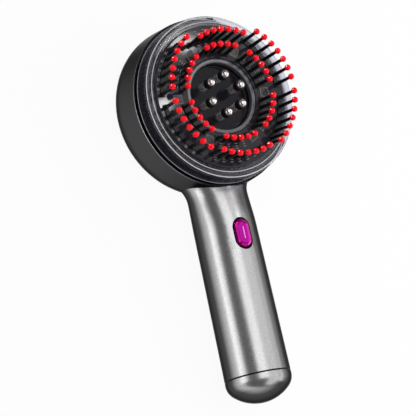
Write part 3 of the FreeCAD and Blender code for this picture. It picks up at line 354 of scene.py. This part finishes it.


# On the ball seats the black is partly their own and partly a painted shadow under each ball.
finish_nodes(
    moulded("collar_black", (0.006, 0.006, 0.007), roughness=0.42, gloss=0.2),
    "lock_collar", "port_carrier", "ball_seats",
)
finish_nodes(
    moulded(
        "plate_gloss", (0.014, 0.013, 0.018), roughness=0.06, grain=700.0, bump=0.0, gloss=0.28
    ),
    "bristle_plate",
)
finish_nodes(
    moulded(
        "dish_gloss", (0.007, 0.007, 0.010), roughness=0.05, grain=700.0, bump=0.0, gloss=0.16
    ),
    "applicator_dish",
)
finish_nodes(
    moulded(
        "ring_frost", (0.062, 0.063, 0.074), roughness=0.18, grain=900.0, bump=0.0, gloss=0.8
    ),
    "dish_ring",
)
finish_nodes(
    moulded("bristle_black", (0.004, 0.004, 0.005), roughness=0.30, gloss=0.25),
    "inner_combs", "outer_combs",
)
finish_nodes(
    moulded(
        "tip_red", (0.96, 0.0010, 0.012),
        roughness=0.16, grain=900.0, bump=0.0, lift=1.02, gloss=0.12,
    ),
    "inner_tips", "outer_tips",
)

# %% [markdown]
# ## Plastics and rubber inside
# Inside are seals, boards, a tray, a wrapped cell and wires. They show only when the cap is off
# or someone takes the device apart, so plain colours would do. The same recipe costs one line
# each and keeps them from looking unfinished.

# %% Plastics and rubber inside
finish_nodes(
    moulded("seal_rubber", (0.012, 0.012, 0.012), roughness=0.7),
    "window_gasket", "tank_gasket", "filler_plug", "port_seal",
)
finish_nodes(
    moulded("board_green", (0.01, 0.10, 0.035), roughness=0.45),
    "led_board", "main_board", "port_board",
)
finish_nodes(moulded("led_red", (0.55, 0.01, 0.01), roughness=0.2, bump=0.0), "red_leds")
finish_nodes(moulded("tray_grey", (0.07, 0.07, 0.075), roughness=0.55), "chassis")
finish_nodes(moulded("cell_wrap", (0.01, 0.05, 0.20), roughness=0.35), "battery_cell")
finish_nodes(
    moulded("switch_black", (0.01, 0.01, 0.01), roughness=0.5), "switch_housing", "switch_stem"
)
finish_nodes(moulded("plug_nylon", (0.62, 0.60, 0.54), roughness=0.5), "harness_plugs")
finish_nodes(
    moulded("wire_sleeve", (0.30, 0.01, 0.01), roughness=0.5), "harness_wires", "motor_leads"
)

# %% [markdown]
# ## Bare metals
# The roller balls are polished steel, the screws and the motor are zinc plated, and the contacts
# are nickel. A metal could be one colour and a mirror, but then it looks drawn. A finer grain
# without bump breaks its tone a little, and smudges dull it in places.

# %% Bare metals
METAL_GRAIN = 3000.0
METAL_CONTRAST = 1.2
METAL_DARK_SHARE = 0.86
METAL_SMUDGE = 200.0
BALLS = 6


def metal(name, colour, low, high):
    """Bare metal, between a low and a high roughness."""
    material, tree, shader = new_material(name)
    mask = place_group(tree, fine_grain, Scale=METAL_GRAIN, Contrast=METAL_CONTRAST)
    dark = [c * METAL_DARK_SHARE for c in colour]
    grained = two_tone(tree, mask.outputs["Mask"], dark, colour)
    tree.links.new(grained, shader.inputs["Base Color"])
    add_smudge(tree, shader, METAL_SMUDGE, low, high)
    shader.inputs["Metallic"].default_value = 1.0
    return material


finish_nodes(
    metal("ball_steel", (0.66, 0.64, 0.63), low=0.03, high=0.07),
    *["roller_ball_" + str(k) for k in range(1, BALLS + 1)],
)
finish_nodes(
    metal("zinc_steel", (0.60, 0.60, 0.62), low=0.22, high=0.36),
    "collar_screws", "led_board_screws", "motor_screws", "main_board_screws", "carrier_screws",
    "motor_can", "motor_bracket", "motor_shaft",
)
finish_nodes(
    metal("nickel", (0.66, 0.63, 0.58), low=0.2, high=0.34), "battery_tabs", "charging_port"
)
finish_nodes(metal("brass", (0.60, 0.43, 0.16), low=0.2, high=0.35), "eccentric_weight")

# %% [markdown]
# ## Clear cover
# The cover is one clear moulding with a rim and a skirt. Its skirt and its inside are tinted
# dark as painted shade, so the groove behind it stays dark. Real clear plastic bends light
# strongly, but a thin double wall then turns milky and grainy in a small picture. So this one
# bends light only a little, and a thin coat on the faces that look up brings the mirror back.
# The rim stays clearest, and the skirt's grey tint is painted shade.

# %% Clear cover
RIM_TINT = (0.94, 0.93, 0.98)
# Skirt and inside tints: painted shade, darkening what is seen through the cover.
SKIRT_SHADE_TINT = (0.44, 0.425, 0.53)
SKIRT_TOP = 0.0350
INSIDE_SHADE_TINT = (0.27, 0.262, 0.34)
INSIDE_SHADE_RADIUS = 0.0386
INSIDE_SHADE_TOP = 0.0339
COVER_INDEX = 1.03
COVER_CLEAR_SHARE = 0.98
COVER_ROUGH = 0.012
CLEAR_SMUDGE = 50.0
UP_START, UP_FULL = 0.25, 0.6
COAT_MOST = 0.55
COAT_ROUGH = 0.12
PLASTIC_INDEX = 1.49


def make_cover_clear():
    """Clear cover: skirt and inside tinted as painted shade, a polished coat on faces looking up.
    """
    material, tree, shader = new_material("cover_clear")
    skirt = compare(tree, place_height(tree), "LESS_THAN", SKIRT_TOP)
    inside_shade = inside_mask(tree, INSIDE_SHADE_RADIUS, "LESS_THAN", INSIDE_SHADE_TOP)
    # The skirt and the inside take dark tints as painted shade.
    outside = two_tone(tree, skirt, RIM_TINT, SKIRT_SHADE_TINT)
    tree.links.new(two_tone(tree, inside_shade, outside, INSIDE_SHADE_TINT), shader.inputs["Base Color"])
    surface = tree.nodes.new("ShaderNodeNewGeometry")
    facing = tree.nodes.new("ShaderNodeSeparateXYZ")
    upward = tree.nodes.new("ShaderNodeMapRange")
    upward.inputs["From Min"].default_value = UP_START
    upward.inputs["From Max"].default_value = UP_FULL
    upward.inputs["To Max"].default_value = COAT_MOST
    tree.links.new(surface.outputs["Normal"], facing.inputs["Vector"])
    tree.links.new(facing.outputs["Z"], upward.inputs["Value"])
    tree.links.new(upward.outputs["Result"], shader.inputs["Coat Weight"])
    add_smudge(tree, shader, CLEAR_SMUDGE, 0.0, COVER_ROUGH)
    shader.inputs["Coat IOR"].default_value = PLASTIC_INDEX
    shader.inputs["Coat Roughness"].default_value = COAT_ROUGH
    shader.inputs["Transmission Weight"].default_value = COVER_CLEAR_SHARE
    shader.inputs["IOR"].default_value = COVER_INDEX
    return material


finish_nodes(make_cover_clear(), "clear_cover", "led_window")

# %% [markdown]
# ## Tubes and light guides
# The rollers stand on clear tubes, and square clear guides bring the light up between the
# bristles. Fully clear, the tubes vanish against the black dish. A small share of plain grey and
# a full coat let them show. The clear pieces could throw coloured shadows, but these come out as
# speckles, so they throw none, as they hardly do in soft light.

# %% Tubes and light guides
CLEAR_GRAIN = 120.0
CLEAR_CONTRAST = 1.0
CLEAR_LIFT = 1.02


def clear(name, tint, low, high, index=PLASTIC_INDEX, share=1.0, coat=0.0):
    """See-through plastic with faint smudges."""
    material, tree, shader = new_material(name)
    mask = place_group(tree, fine_grain, Scale=CLEAR_GRAIN, Contrast=CLEAR_CONTRAST)
    pale = [min(c * CLEAR_LIFT, 1.0) for c in tint]
    tinted = two_tone(tree, mask.outputs["Mask"], tint, pale)
    tree.links.new(tinted, shader.inputs["Base Color"])
    add_smudge(tree, shader, CLEAR_SMUDGE, low, high)
    shader.inputs["Transmission Weight"].default_value = share
    shader.inputs["IOR"].default_value = index
    shader.inputs["Coat Weight"].default_value = coat
    return material


finish_nodes(
    clear("tube_clear", (0.90, 0.90, 0.91), low=0.0, high=0.02, index=1.1, share=0.86, coat=1.0),
    "roller_tubes", "oil_tank",
)
finish_nodes(clear("guide_clear", (0.36, 0.33, 0.35), low=0.20, high=0.30), "light_guides")
for name in ("clear_cover", "led_window", "roller_tubes", "light_guides"):
    nodes[name].visible_shadow = False

# %% [markdown]
# ## Modelling helpers
# Each new piece starts from a primitive, is shaped in edit mode and keeps its origin at the
# frame's origin. Points could be picked by their numbers, but those change with every step, so
# they are picked by where they are. Sizes are written in millimetres.

# %% Modelling helpers
MM = 0.001


def open_piece(name):
    """Names the newest primitive and opens it for editing with all of it selected."""
    piece = bpy.context.object
    piece.name = name
    piece.data.name = name
    bpy.ops.object.mode_set(mode="EDIT")
    bpy.ops.mesh.select_all(action="SELECT")
    return piece


def pick_points(piece, test):
    """Selects the points whose place passes a test."""
    bpy.ops.mesh.select_mode(type="VERT")
    bpy.ops.mesh.select_all(action="DESELECT")
    bpy.ops.object.mode_set(mode="OBJECT")
    for point in piece.data.vertices:
        point.select = test(point.co)
    bpy.ops.object.mode_set(mode="EDIT")


def break_edges(piece, width, segments):
    """Breaks the sharp edges with a small bevel."""
    bpy.ops.object.mode_set(mode="OBJECT")
    edge = piece.modifiers.new("edge", "BEVEL")
    edge.width = width * MM
    edge.segments = segments
    bpy.ops.object.modifier_apply(modifier="edge")
    bpy.ops.object.mode_set(mode="EDIT")


def close_piece(piece, body, material, smooth=None):
    """Ends the editing, sets the shading and the finish, and lets the piece ride on its body."""
    bpy.ops.mesh.select_all(action="SELECT")
    bpy.ops.mesh.normals_make_consistent(inside=False)
    bpy.ops.object.mode_set(mode="OBJECT")
    if smooth:
        bpy.ops.object.shade_smooth_by_angle(angle=math.radians(smooth))
    piece.data.materials.append(material)
    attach(piece, body)
    print(piece.name, len(piece.data.polygons), "faces on", body)


print("1 millimetre is", MM, "m here")

# %% [markdown]
# ## Gem finish
# The button is a magenta stone of clear resin. A cut stone shows dark and bright rings, because
# each ring of facets mirrors another part of its inside. Glass would trace that slowly and stay
# grainy. So the rings are painted: the height on the stone chooses the colour, with painted shade
# in the dark rings and painted highlights in the bright rings and the pale table. A little cloud
# varies it.

# %% Gem finish
GIRDLE_TOP = 29.93
GEM_STEPS = [(0.55, 0.55), (0.75, 0.42), (0.75, 0.24), (1.95, 0.18)]
# Painted shade at the girdle, painted highlights in the bright rings and on the table.
GEM_GIRDLE_SHADE = (0.20, 0.0, 0.10)
GEM_TABLE_HIGHLIGHT = (1.0, 0.55, 0.95)
GEM_PAINTED_RINGS = [
    (0.38, (0.24, 0.0, 0.10)), (0.42, (0.62, 0.0, 0.36)), (0.66, (0.52, 0.0, 0.29)),
    (0.71, (0.24, 0.0, 0.13)), (0.85, (0.30, 0.0, 0.17)), (0.88, (0.64, 0.0, 0.45)),
    (0.99, (0.50, 0.0, 0.34)),
]
CLOUD_SCALE = 420.0
CLOUD_CONTRAST = 1.2
CLOUD_SHARE = 0.35
GEM_SMUDGE = 150.0
GEM_SMOOTH, GEM_ROUGH = 0.03, 0.07
GEM_METALLIC = 0.7
GEM_GLOSS = 0.1
GEM_COAT = 0.12


def make_gem_finish():
    """Magenta resin, with painted shade at the girdle and painted highlights towards the table."""
    material, tree, shader = new_material("gem_magenta")
    table_height = GIRDLE_TOP + sum(rise for inset, rise in GEM_STEPS)
    height = tree.nodes.new("ShaderNodeMapRange")
    height.inputs["From Min"].default_value = GIRDLE_TOP * MM
    height.inputs["From Max"].default_value = table_height * MM
    ramp = tree.nodes.new("ShaderNodeValToRGB")
    ramp.color_ramp.elements[0].color = (*GEM_GIRDLE_SHADE, 1.0)
    ramp.color_ramp.elements[1].color = (*GEM_TABLE_HIGHLIGHT, 1.0)
    for stop, colour in GEM_PAINTED_RINGS:
        ramp.color_ramp.elements.new(stop).color = (*colour, 1.0)
    cloud = place_group(tree, fine_grain, Scale=CLOUD_SCALE, Contrast=CLOUD_CONTRAST)
    shade = tree.nodes.new("ShaderNodeMix")
    shade.data_type = "RGBA"
    shade.blend_type = "MULTIPLY"
    shade.inputs["Factor"].default_value = CLOUD_SHARE
    tree.links.new(place_height(tree), height.inputs["Value"])
    tree.links.new(height.outputs["Result"], ramp.inputs["Fac"])
    tree.links.new(ramp.outputs["Color"], shade.inputs[MIX_A])
    tree.links.new(cloud.outputs["Mask"], shade.inputs[MIX_B])
    tree.links.new(shade.outputs[MIX_RESULT], shader.inputs["Base Color"])
    add_smudge(tree, shader, GEM_SMUDGE, GEM_SMOOTH, GEM_ROUGH)
    shader.inputs["Metallic"].default_value = GEM_METALLIC
    shader.inputs["Specular IOR Level"].default_value = GEM_GLOSS
    shader.inputs["Coat Weight"].default_value = GEM_COAT
    return material


gem_magenta = make_gem_finish()
print(gem_magenta.name, "with", len(GEM_PAINTED_RINGS), "shades between the girdle and the table")

# %% [markdown]
# ## Gem shape
# The stone has a flange under the housing, a steep girdle in painted shade, sloping crowns and a
# narrow table. It could be sculpted, but cutting is nearer to how it is made. It starts as a low
# cylinder, whose two halves are pulled apart into an oval. The top is then inset and raised step
# by step. Flat shading keeps the facets crisp, and a hair of bevel lets their edges glint.

# %% Gem shape
BUTTON_PLACE = -63.5
GEM_SIDES = 18
GEM_STRAIGHT = 5.2
FLANGE_LOW, FLANGE_HIGH = 25.9, 26.9
FLANGE_HALF_WIDTH = 5.0
FLANGE_LEDGE = 0.8
GEM_EDGE = 0.07


def model_gem():
    """Cuts the gem from a low cylinder."""
    flange_middle = (FLANGE_LOW + FLANGE_HIGH) / 2 * MM
    bpy.ops.object.select_all(action="DESELECT")
    bpy.ops.mesh.primitive_cylinder_add(
        vertices=GEM_SIDES, radius=FLANGE_HALF_WIDTH * MM, depth=(FLANGE_HIGH - FLANGE_LOW) * MM
    )
    gem = open_piece("button_gem")
    bpy.ops.transform.translate(value=(0, 0, flange_middle))
    for side in (1, -1):
        pick_points(gem, lambda p: p.y * side > 0)
        bpy.ops.transform.translate(value=(0, side * GEM_STRAIGHT / 2 * MM, 0))
    pick_points(gem, lambda p: p.z > flange_middle)
    bpy.ops.mesh.select_mode(type="FACE")
    bpy.ops.mesh.inset(thickness=FLANGE_LEDGE * MM)
    bpy.ops.mesh.extrude_region_move(
        TRANSFORM_OT_translate={"value": (0, 0, (GIRDLE_TOP - FLANGE_HIGH) * MM)}
    )
    for inset, rise in GEM_STEPS:
        bpy.ops.mesh.inset(thickness=inset * MM)
        bpy.ops.transform.translate(value=(0, 0, rise * MM))
    bpy.ops.mesh.select_all(action="SELECT")
    bpy.ops.transform.translate(value=(0, BUTTON_PLACE * MM, 0))
    break_edges(gem, GEM_EDGE, segments=1)
    close_piece(gem, "button", gem_magenta)
    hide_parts("power_button")


model_gem()

# %% [markdown]
# ## Bright edges of the clear cover
# Clear plastic gathers light at its edges, and they show as thin pale lines. True refraction
# would need far more light paths. So each line is a painted highlight: a fine pale bead, spun
# round the head's axis from a small circle and half sunk in the cover.

# %% Bright edges of the clear cover
BEAD_POINTS = 8
BEAD_TURN = 180
BEAD_WELD = 0.001
BEAD_SMOOTH = 60.0
# distance from the axis, height and thickness of each bead
HIGHLIGHT_BEADS = {
    "cover_rim_highlight": (38.42, 36.22, 0.23),
    "cover_step_highlight": (35.98, 36.72, 0.18),
    "cover_foot_highlight": (39.52, 29.46, 0.11),
}


def model_bead(name, radius, height, thick, material):
    """Spins a fine pale bead round the head, as a painted highlight line."""
    bpy.ops.object.select_all(action="DESELECT")
    bpy.ops.mesh.primitive_circle_add(vertices=BEAD_POINTS, radius=thick * MM)
    bead = open_piece(name)
    bpy.ops.transform.rotate(value=math.pi / 2, orient_axis="X", center_override=(0, 0, 0))
    bpy.ops.transform.translate(value=(radius * MM, 0, height * MM))
    bpy.ops.mesh.spin(steps=BEAD_TURN, angle=2 * math.pi, center=(0, 0, 0), axis=(0, 0, 1))
    bpy.ops.mesh.select_all(action="SELECT")
    bpy.ops.mesh.remove_doubles(threshold=BEAD_WELD * MM)
    close_piece(bead, "brush_head", material, smooth=BEAD_SMOOTH)


# The pale colour on the beads is a painted highlight.
painted_edge_highlight = moulded(
    "painted_edge_highlight", (0.56, 0.57, 0.60), roughness=0.15, grain=500.0, bump=0.0, lift=1.4
)
for bead_name, bead_values in HIGHLIGHT_BEADS.items():
    model_bead(bead_name, *bead_values, painted_edge_highlight)

# %% [markdown]
# ## Window bezels
# Each light window has a raised lip round its edge, moulded with the guide. A solidified frame
# would do too, but a plane with an inset and an extrusion keeps every width in hand. One lip is
# made this way, and the others are copies turned round the head, each with its own mesh.

# %% Window bezels
FULL_TURN = 360.0
WINDOWS = 6
WINDOW_RADIUS = 23.4
WINDOW_SIZE = 4.6
BEZEL_WIDTH = 0.45
BEZEL_LOW, BEZEL_RISE = 37.55, 0.25
BEZEL_EDGE = 0.06
BEZEL_SMOOTH = 40.0


def model_bezel(material):
    """One square lip, on the first window."""
    bpy.ops.object.select_all(action="DESELECT")
    bpy.ops.mesh.primitive_plane_add(size=WINDOW_SIZE * MM)
    bezel = open_piece("window_bezel_1")
    bpy.ops.mesh.inset(thickness=BEZEL_WIDTH * MM)
    bpy.ops.mesh.delete(type="FACE")
    bpy.ops.mesh.select_all(action="SELECT")
    bpy.ops.transform.translate(value=(WINDOW_RADIUS * MM, 0, BEZEL_LOW * MM))
    bpy.ops.mesh.extrude_region_move(
        TRANSFORM_OT_translate={"value": (0, 0, BEZEL_RISE * MM)}
    )
    break_edges(bezel, BEZEL_EDGE, segments=2)
    close_piece(bezel, "brush_head", material, smooth=BEZEL_SMOOTH)
    return bezel


def turned_copy(piece, name, angle, body):
    """A copy with its own mesh, turned round the head's axis."""
    bpy.ops.object.select_all(action="DESELECT")
    piece.select_set(True)
    bpy.context.view_layer.objects.active = piece
    bpy.ops.object.duplicate(linked=False)
    copy = open_piece(name)
    bpy.ops.transform.rotate(
        value=math.radians(angle), orient_axis="Z", center_override=(0, 0, 0)
    )
    bpy.ops.object.mode_set(mode="OBJECT")
    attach(copy, body)
    print(name, "turned by", angle, "degrees")


bezel_grey = moulded("bezel_grey", (0.10, 0.085, 0.09), roughness=0.18, grain=700.0, bump=0.0)
first_bezel = model_bezel(bezel_grey)
for turn in range(1, WINDOWS):
    bezel_name = "window_bezel_" + str(turn + 1)
    turned_copy(first_bezel, bezel_name, turn * FULL_TURN / WINDOWS, "brush_head")

# %% [markdown]
# ## Teeth between the bristles
# Short ribs stand between the bristles and stop hair from sliding to the roots. An array modifier
# could repeat them, but their rows differ from side to side. One rib is a cube that is flattened
# and narrowed at the top. It is copied outwards and then from gap to gap in the same mesh.

# %% Teeth between the bristles
GROUPS = 6
PLATE_TOP = 37.55
TOOTH_LONG, TOOTH_DEEP, TOOTH_HIGH = 1.5, 0.55, 0.35
TOOTH_TAPER = (0.55, 0.8, 1.0)
INNER_GAPS = (-15.0, -5.0, 5.0, 15.0)
OUTER_GAPS = (-20.0, -12.0, -4.0, 4.0, 12.0, 20.0)
# rows by their distance from the axis, gaps within a group in degrees, and the groups
TOOTH_SETS = {
    "inner_teeth": ((23.1, 24.3, 25.5), INNER_GAPS, range(GROUPS)),
    "side_teeth": ((32.75, 33.5), OUTER_GAPS, (0, 2, 3, 5)),
    "top_teeth": ((29.2, 30.4, 31.6), OUTER_GAPS, (1,)),
    "handle_teeth": ((31.0, 32.2), OUTER_GAPS, (4,)),
}


def gap_angles(gaps, groups):
    """Angles of all gaps, group by group, each group in the middle of its sector."""
    return [(g + 0.5) * FULL_TURN / GROUPS + gap for g in groups for gap in gaps]


def model_teeth(name, rows, angles, material):
    """Ribs on some rows, repeated at some angles."""
    bpy.ops.object.select_all(action="DESELECT")
    bpy.ops.mesh.primitive_cube_add(size=1.0)
    teeth = open_piece(name)
    bpy.ops.transform.resize(
        value=(TOOTH_DEEP * MM, TOOTH_LONG * MM, TOOTH_HIGH * MM), center_override=(0, 0, 0)
    )
    pick_points(teeth, lambda p: p.z > 0)
    bpy.ops.transform.resize(value=TOOTH_TAPER, center_override=(0, 0, 0))
    bpy.ops.mesh.select_all(action="SELECT")
    bpy.ops.transform.translate(value=(rows[0] * MM, 0, (PLATE_TOP + TOOTH_HIGH / 2) * MM))
    for near, far in zip(rows, rows[1:]):
        bpy.ops.mesh.duplicate_move(TRANSFORM_OT_translate={"value": ((far - near) * MM, 0, 0)})
    bpy.ops.mesh.select_all(action="SELECT")
    turned = 0.0
    for angle in angles:
        if angle != angles[0]:
            bpy.ops.mesh.duplicate()
        step = math.radians(angle - turned)
        bpy.ops.transform.rotate(value=step, orient_axis="Z", center_override=(0, 0, 0))
        turned = angle
    close_piece(teeth, "brush_head", material)


tooth_grey = moulded("tooth_grey", (0.18, 0.18, 0.19), roughness=0.2, grain=900.0, bump=0.0)
for teeth_name, (rows, gaps, groups) in TOOTH_SETS.items():
    model_teeth(teeth_name, rows, gap_angles(gaps, groups), tooth_grey)

# %% [markdown]
# ## Studio floor
# The device lies on white paper that turns up into a low wall far away, so the background is
# white from every side. More light would whiten plain paper, but it would bleach the device as
# well. So Light Path lets the camera, mirrors and clear plastic see it as white, while a small
# share of plain paper keeps the soft shadow under the device.

# %% Studio floor
FLOOR_SIZE = 12.0
WALL_HEIGHT = 0.9
PAPER_WHITE = (0.85, 0.85, 0.85)
FLOOR_WHITE_SHARE = 0.94


def model_floor():
    """A wide plane whose edges are drawn up into a wall."""
    bpy.ops.object.select_all(action="DESELECT")
    bpy.ops.mesh.primitive_plane_add(size=FLOOR_SIZE)
    floor = open_piece("studio_floor")
    bpy.ops.mesh.select_mode(type="EDGE")
    bpy.ops.mesh.extrude_edges_move(TRANSFORM_OT_translate={"value": (0, 0, WALL_HEIGHT)})
    bpy.ops.object.mode_set(mode="OBJECT")
    return floor


def make_floor_white():
    """Paper that is white when seen straight, in a mirror or through glass, with a faint shadow."""
    material, tree, shader = new_material("floor_white")
    tree.nodes.remove(shader)
    diffuse = tree.nodes.new("ShaderNodeBsdfDiffuse")
    diffuse.inputs["Color"].default_value = (*PAPER_WHITE, 1.0)
    glow = tree.nodes.new("ShaderNodeEmission")
    path = tree.nodes.new("ShaderNodeLightPath")
    seen = path.outputs["Is Camera Ray"]
    for ray in ("Is Glossy Ray", "Is Transmission Ray"):
        either = tree.nodes.new("ShaderNodeMath")
        either.operation = "MAXIMUM"
        tree.links.new(seen, either.inputs[0])
        tree.links.new(path.outputs[ray], either.inputs[1])
        seen = either.outputs[0]
    share = tree.nodes.new("ShaderNodeMath")
    share.operation = "MULTIPLY"
    share.inputs[1].default_value = FLOOR_WHITE_SHARE
    mix = tree.nodes.new("ShaderNodeMixShader")
    tree.links.new(seen, share.inputs[0])
    tree.links.new(share.outputs[0], mix.inputs["Fac"])
    tree.links.new(diffuse.outputs["BSDF"], mix.inputs[1])
    tree.links.new(glow.outputs["Emission"], mix.inputs[2])
    tree.links.new(mix.outputs["Shader"], tree.nodes["Material Output"].inputs["Surface"])
    return material


model_floor().data.materials.append(make_floor_white())
print("floor", FLOOR_SIZE, "m wide, wall", WALL_HEIGHT, "m high")

# %% [markdown]
# ## Soft boxes
# Satin paint on a round handle mirrors each long lamp as a long band. A lamp could be moved about
# until its band sits right, but the place of a band on the handle already gives the angle of its
# lamp. So every soft box is written as a span of angles round the handle, with its ends along it
# and the brightness that a mirror would show.

# %% Soft boxes
HANDLE_HEIGHT = 0.02
BOX_REACH = 0.5
# first and last angle (0 is straight up, positive to the right), near and far end, glow
SOFT_BOXES = {
    "box_over_edge": (-26.0, 4.0, -0.28, 0.45, 1.75),
    "box_over_wide": (2.0, 57.0, -1.3, 0.45, 0.95),
    "box_right": (58.0, 84.0, -0.5, 0.16, 3.2),
    "box_left": (-92.0, -68.0, -0.28, 0.12, 1.75),
}


def area_lamp(name, width, length, glow):
    """A rectangular lamp whose glow is the brightness that a mirror would show."""
    lamp = bpy.data.lights.new(name, "AREA")
    lamp.shape = "RECTANGLE"
    lamp.size, lamp.size_y = width, length
    lamp.energy = math.pi * lamp.size * lamp.size_y * glow
    holder = bpy.data.objects.new(name, lamp)
    bpy.context.scene.collection.objects.link(holder)
    print(name, round(lamp.energy, 3), "W")
    return holder


def soft_box(name, first, last, near, far, glow):
    """A lamp that hangs over the handle from one angle to another and faces it."""
    middle = math.radians((first + last) / 2)
    width = 2 * BOX_REACH * math.tan(math.radians((last - first) / 2))
    box = area_lamp(name, width, far - near, glow)
    height = HANDLE_HEIGHT + BOX_REACH * math.cos(middle)
    box.location = (BOX_REACH * math.sin(middle), (near + far) / 2, height)
    box.rotation_euler = (0.0, middle, 0.0)


for box_name, box_values in SOFT_BOXES.items():
    soft_box(box_name, *box_values)

# %% [markdown]
# ## Small cards
# Photographers set small bright cards for the sharp glints. A round one behind the head gives
# each red tip its highlight. It could light everything, but then it would flatten the shading of
# the housing, so it is linked to the tips alone. Three more leave their mirror image on the rim
# of the cover, and stand where the camera sees them there.

# %% Small cards
KEY_PLACE = (-0.36, 0.46, 0.20)
KEY_TARGET = (0.0, 0.0, 0.04)
KEY_SIZE = (0.30, 0.30)
KEY_GLOW = 125.0
# place, target, size, glow, and turn in degrees
RIM_CARDS = {
    "card_left": (
        (0.1951, 0.0914, 0.4118), (-0.0343, -0.0027, 0.0369), (0.0064, 0.0135), 40.0, 0.0
    ),
    "card_upper_left": (
        (0.2151, 0.1291, 0.4079), (-0.0171, 0.0269, 0.0362), (0.0197, 0.0096), 24.0, 45.0
    ),
    "card_upper_right": (
        (0.2672, 0.1345, 0.4020), (0.0258, 0.0323, 0.0362), (0.0444, 0.0157), 12.0, 0.0
    ),
}


def small_card(name, place, target, size, glow, turn):
    """A small bright card that faces a target and leaves a sharp glint."""
    card = area_lamp(name, *size, glow)
    card.location = place
    aim = (Vector(target) - Vector(place)).to_track_quat("-Z", "Y")
    card.rotation_euler = (aim @ Quaternion((0.0, 0.0, 1.0), math.radians(turn))).to_euler()
    card.visible_transmission = False
    return card


key = small_card("card_back_left", KEY_PLACE, KEY_TARGET, KEY_SIZE, KEY_GLOW, turn=0.0)
key.visible_diffuse = False
key.data.shape = "ELLIPSE"
lit_by_key = bpy.data.collections.new("lit_by_key")
for name in ("inner_tips", "outer_tips"):
    lit_by_key.objects.link(nodes[name])
key.light_linking.receiver_collection = lit_by_key
for card_name, card_values in RIM_CARDS.items():
    small_card(card_name, *card_values)

# %% [markdown]
# ## Room light
# The rest of the room is a dim even grey. A picture of a studio could stand in for it, but plain
# grey is enough here. It fills the shadows and is what the paint mirrors between the lamps, so
# its level sets how dark the dark bands are.

# %% Room light
ROOM_GREY = (0.16, 0.16, 0.163)

world = bpy.data.worlds.new("studio_dusk")
world.use_nodes = True
world.node_tree.nodes["Background"].inputs["Color"].default_value = (*ROOM_GREY, 1.0)
bpy.context.scene.world = world
print("room light", ROOM_GREY)
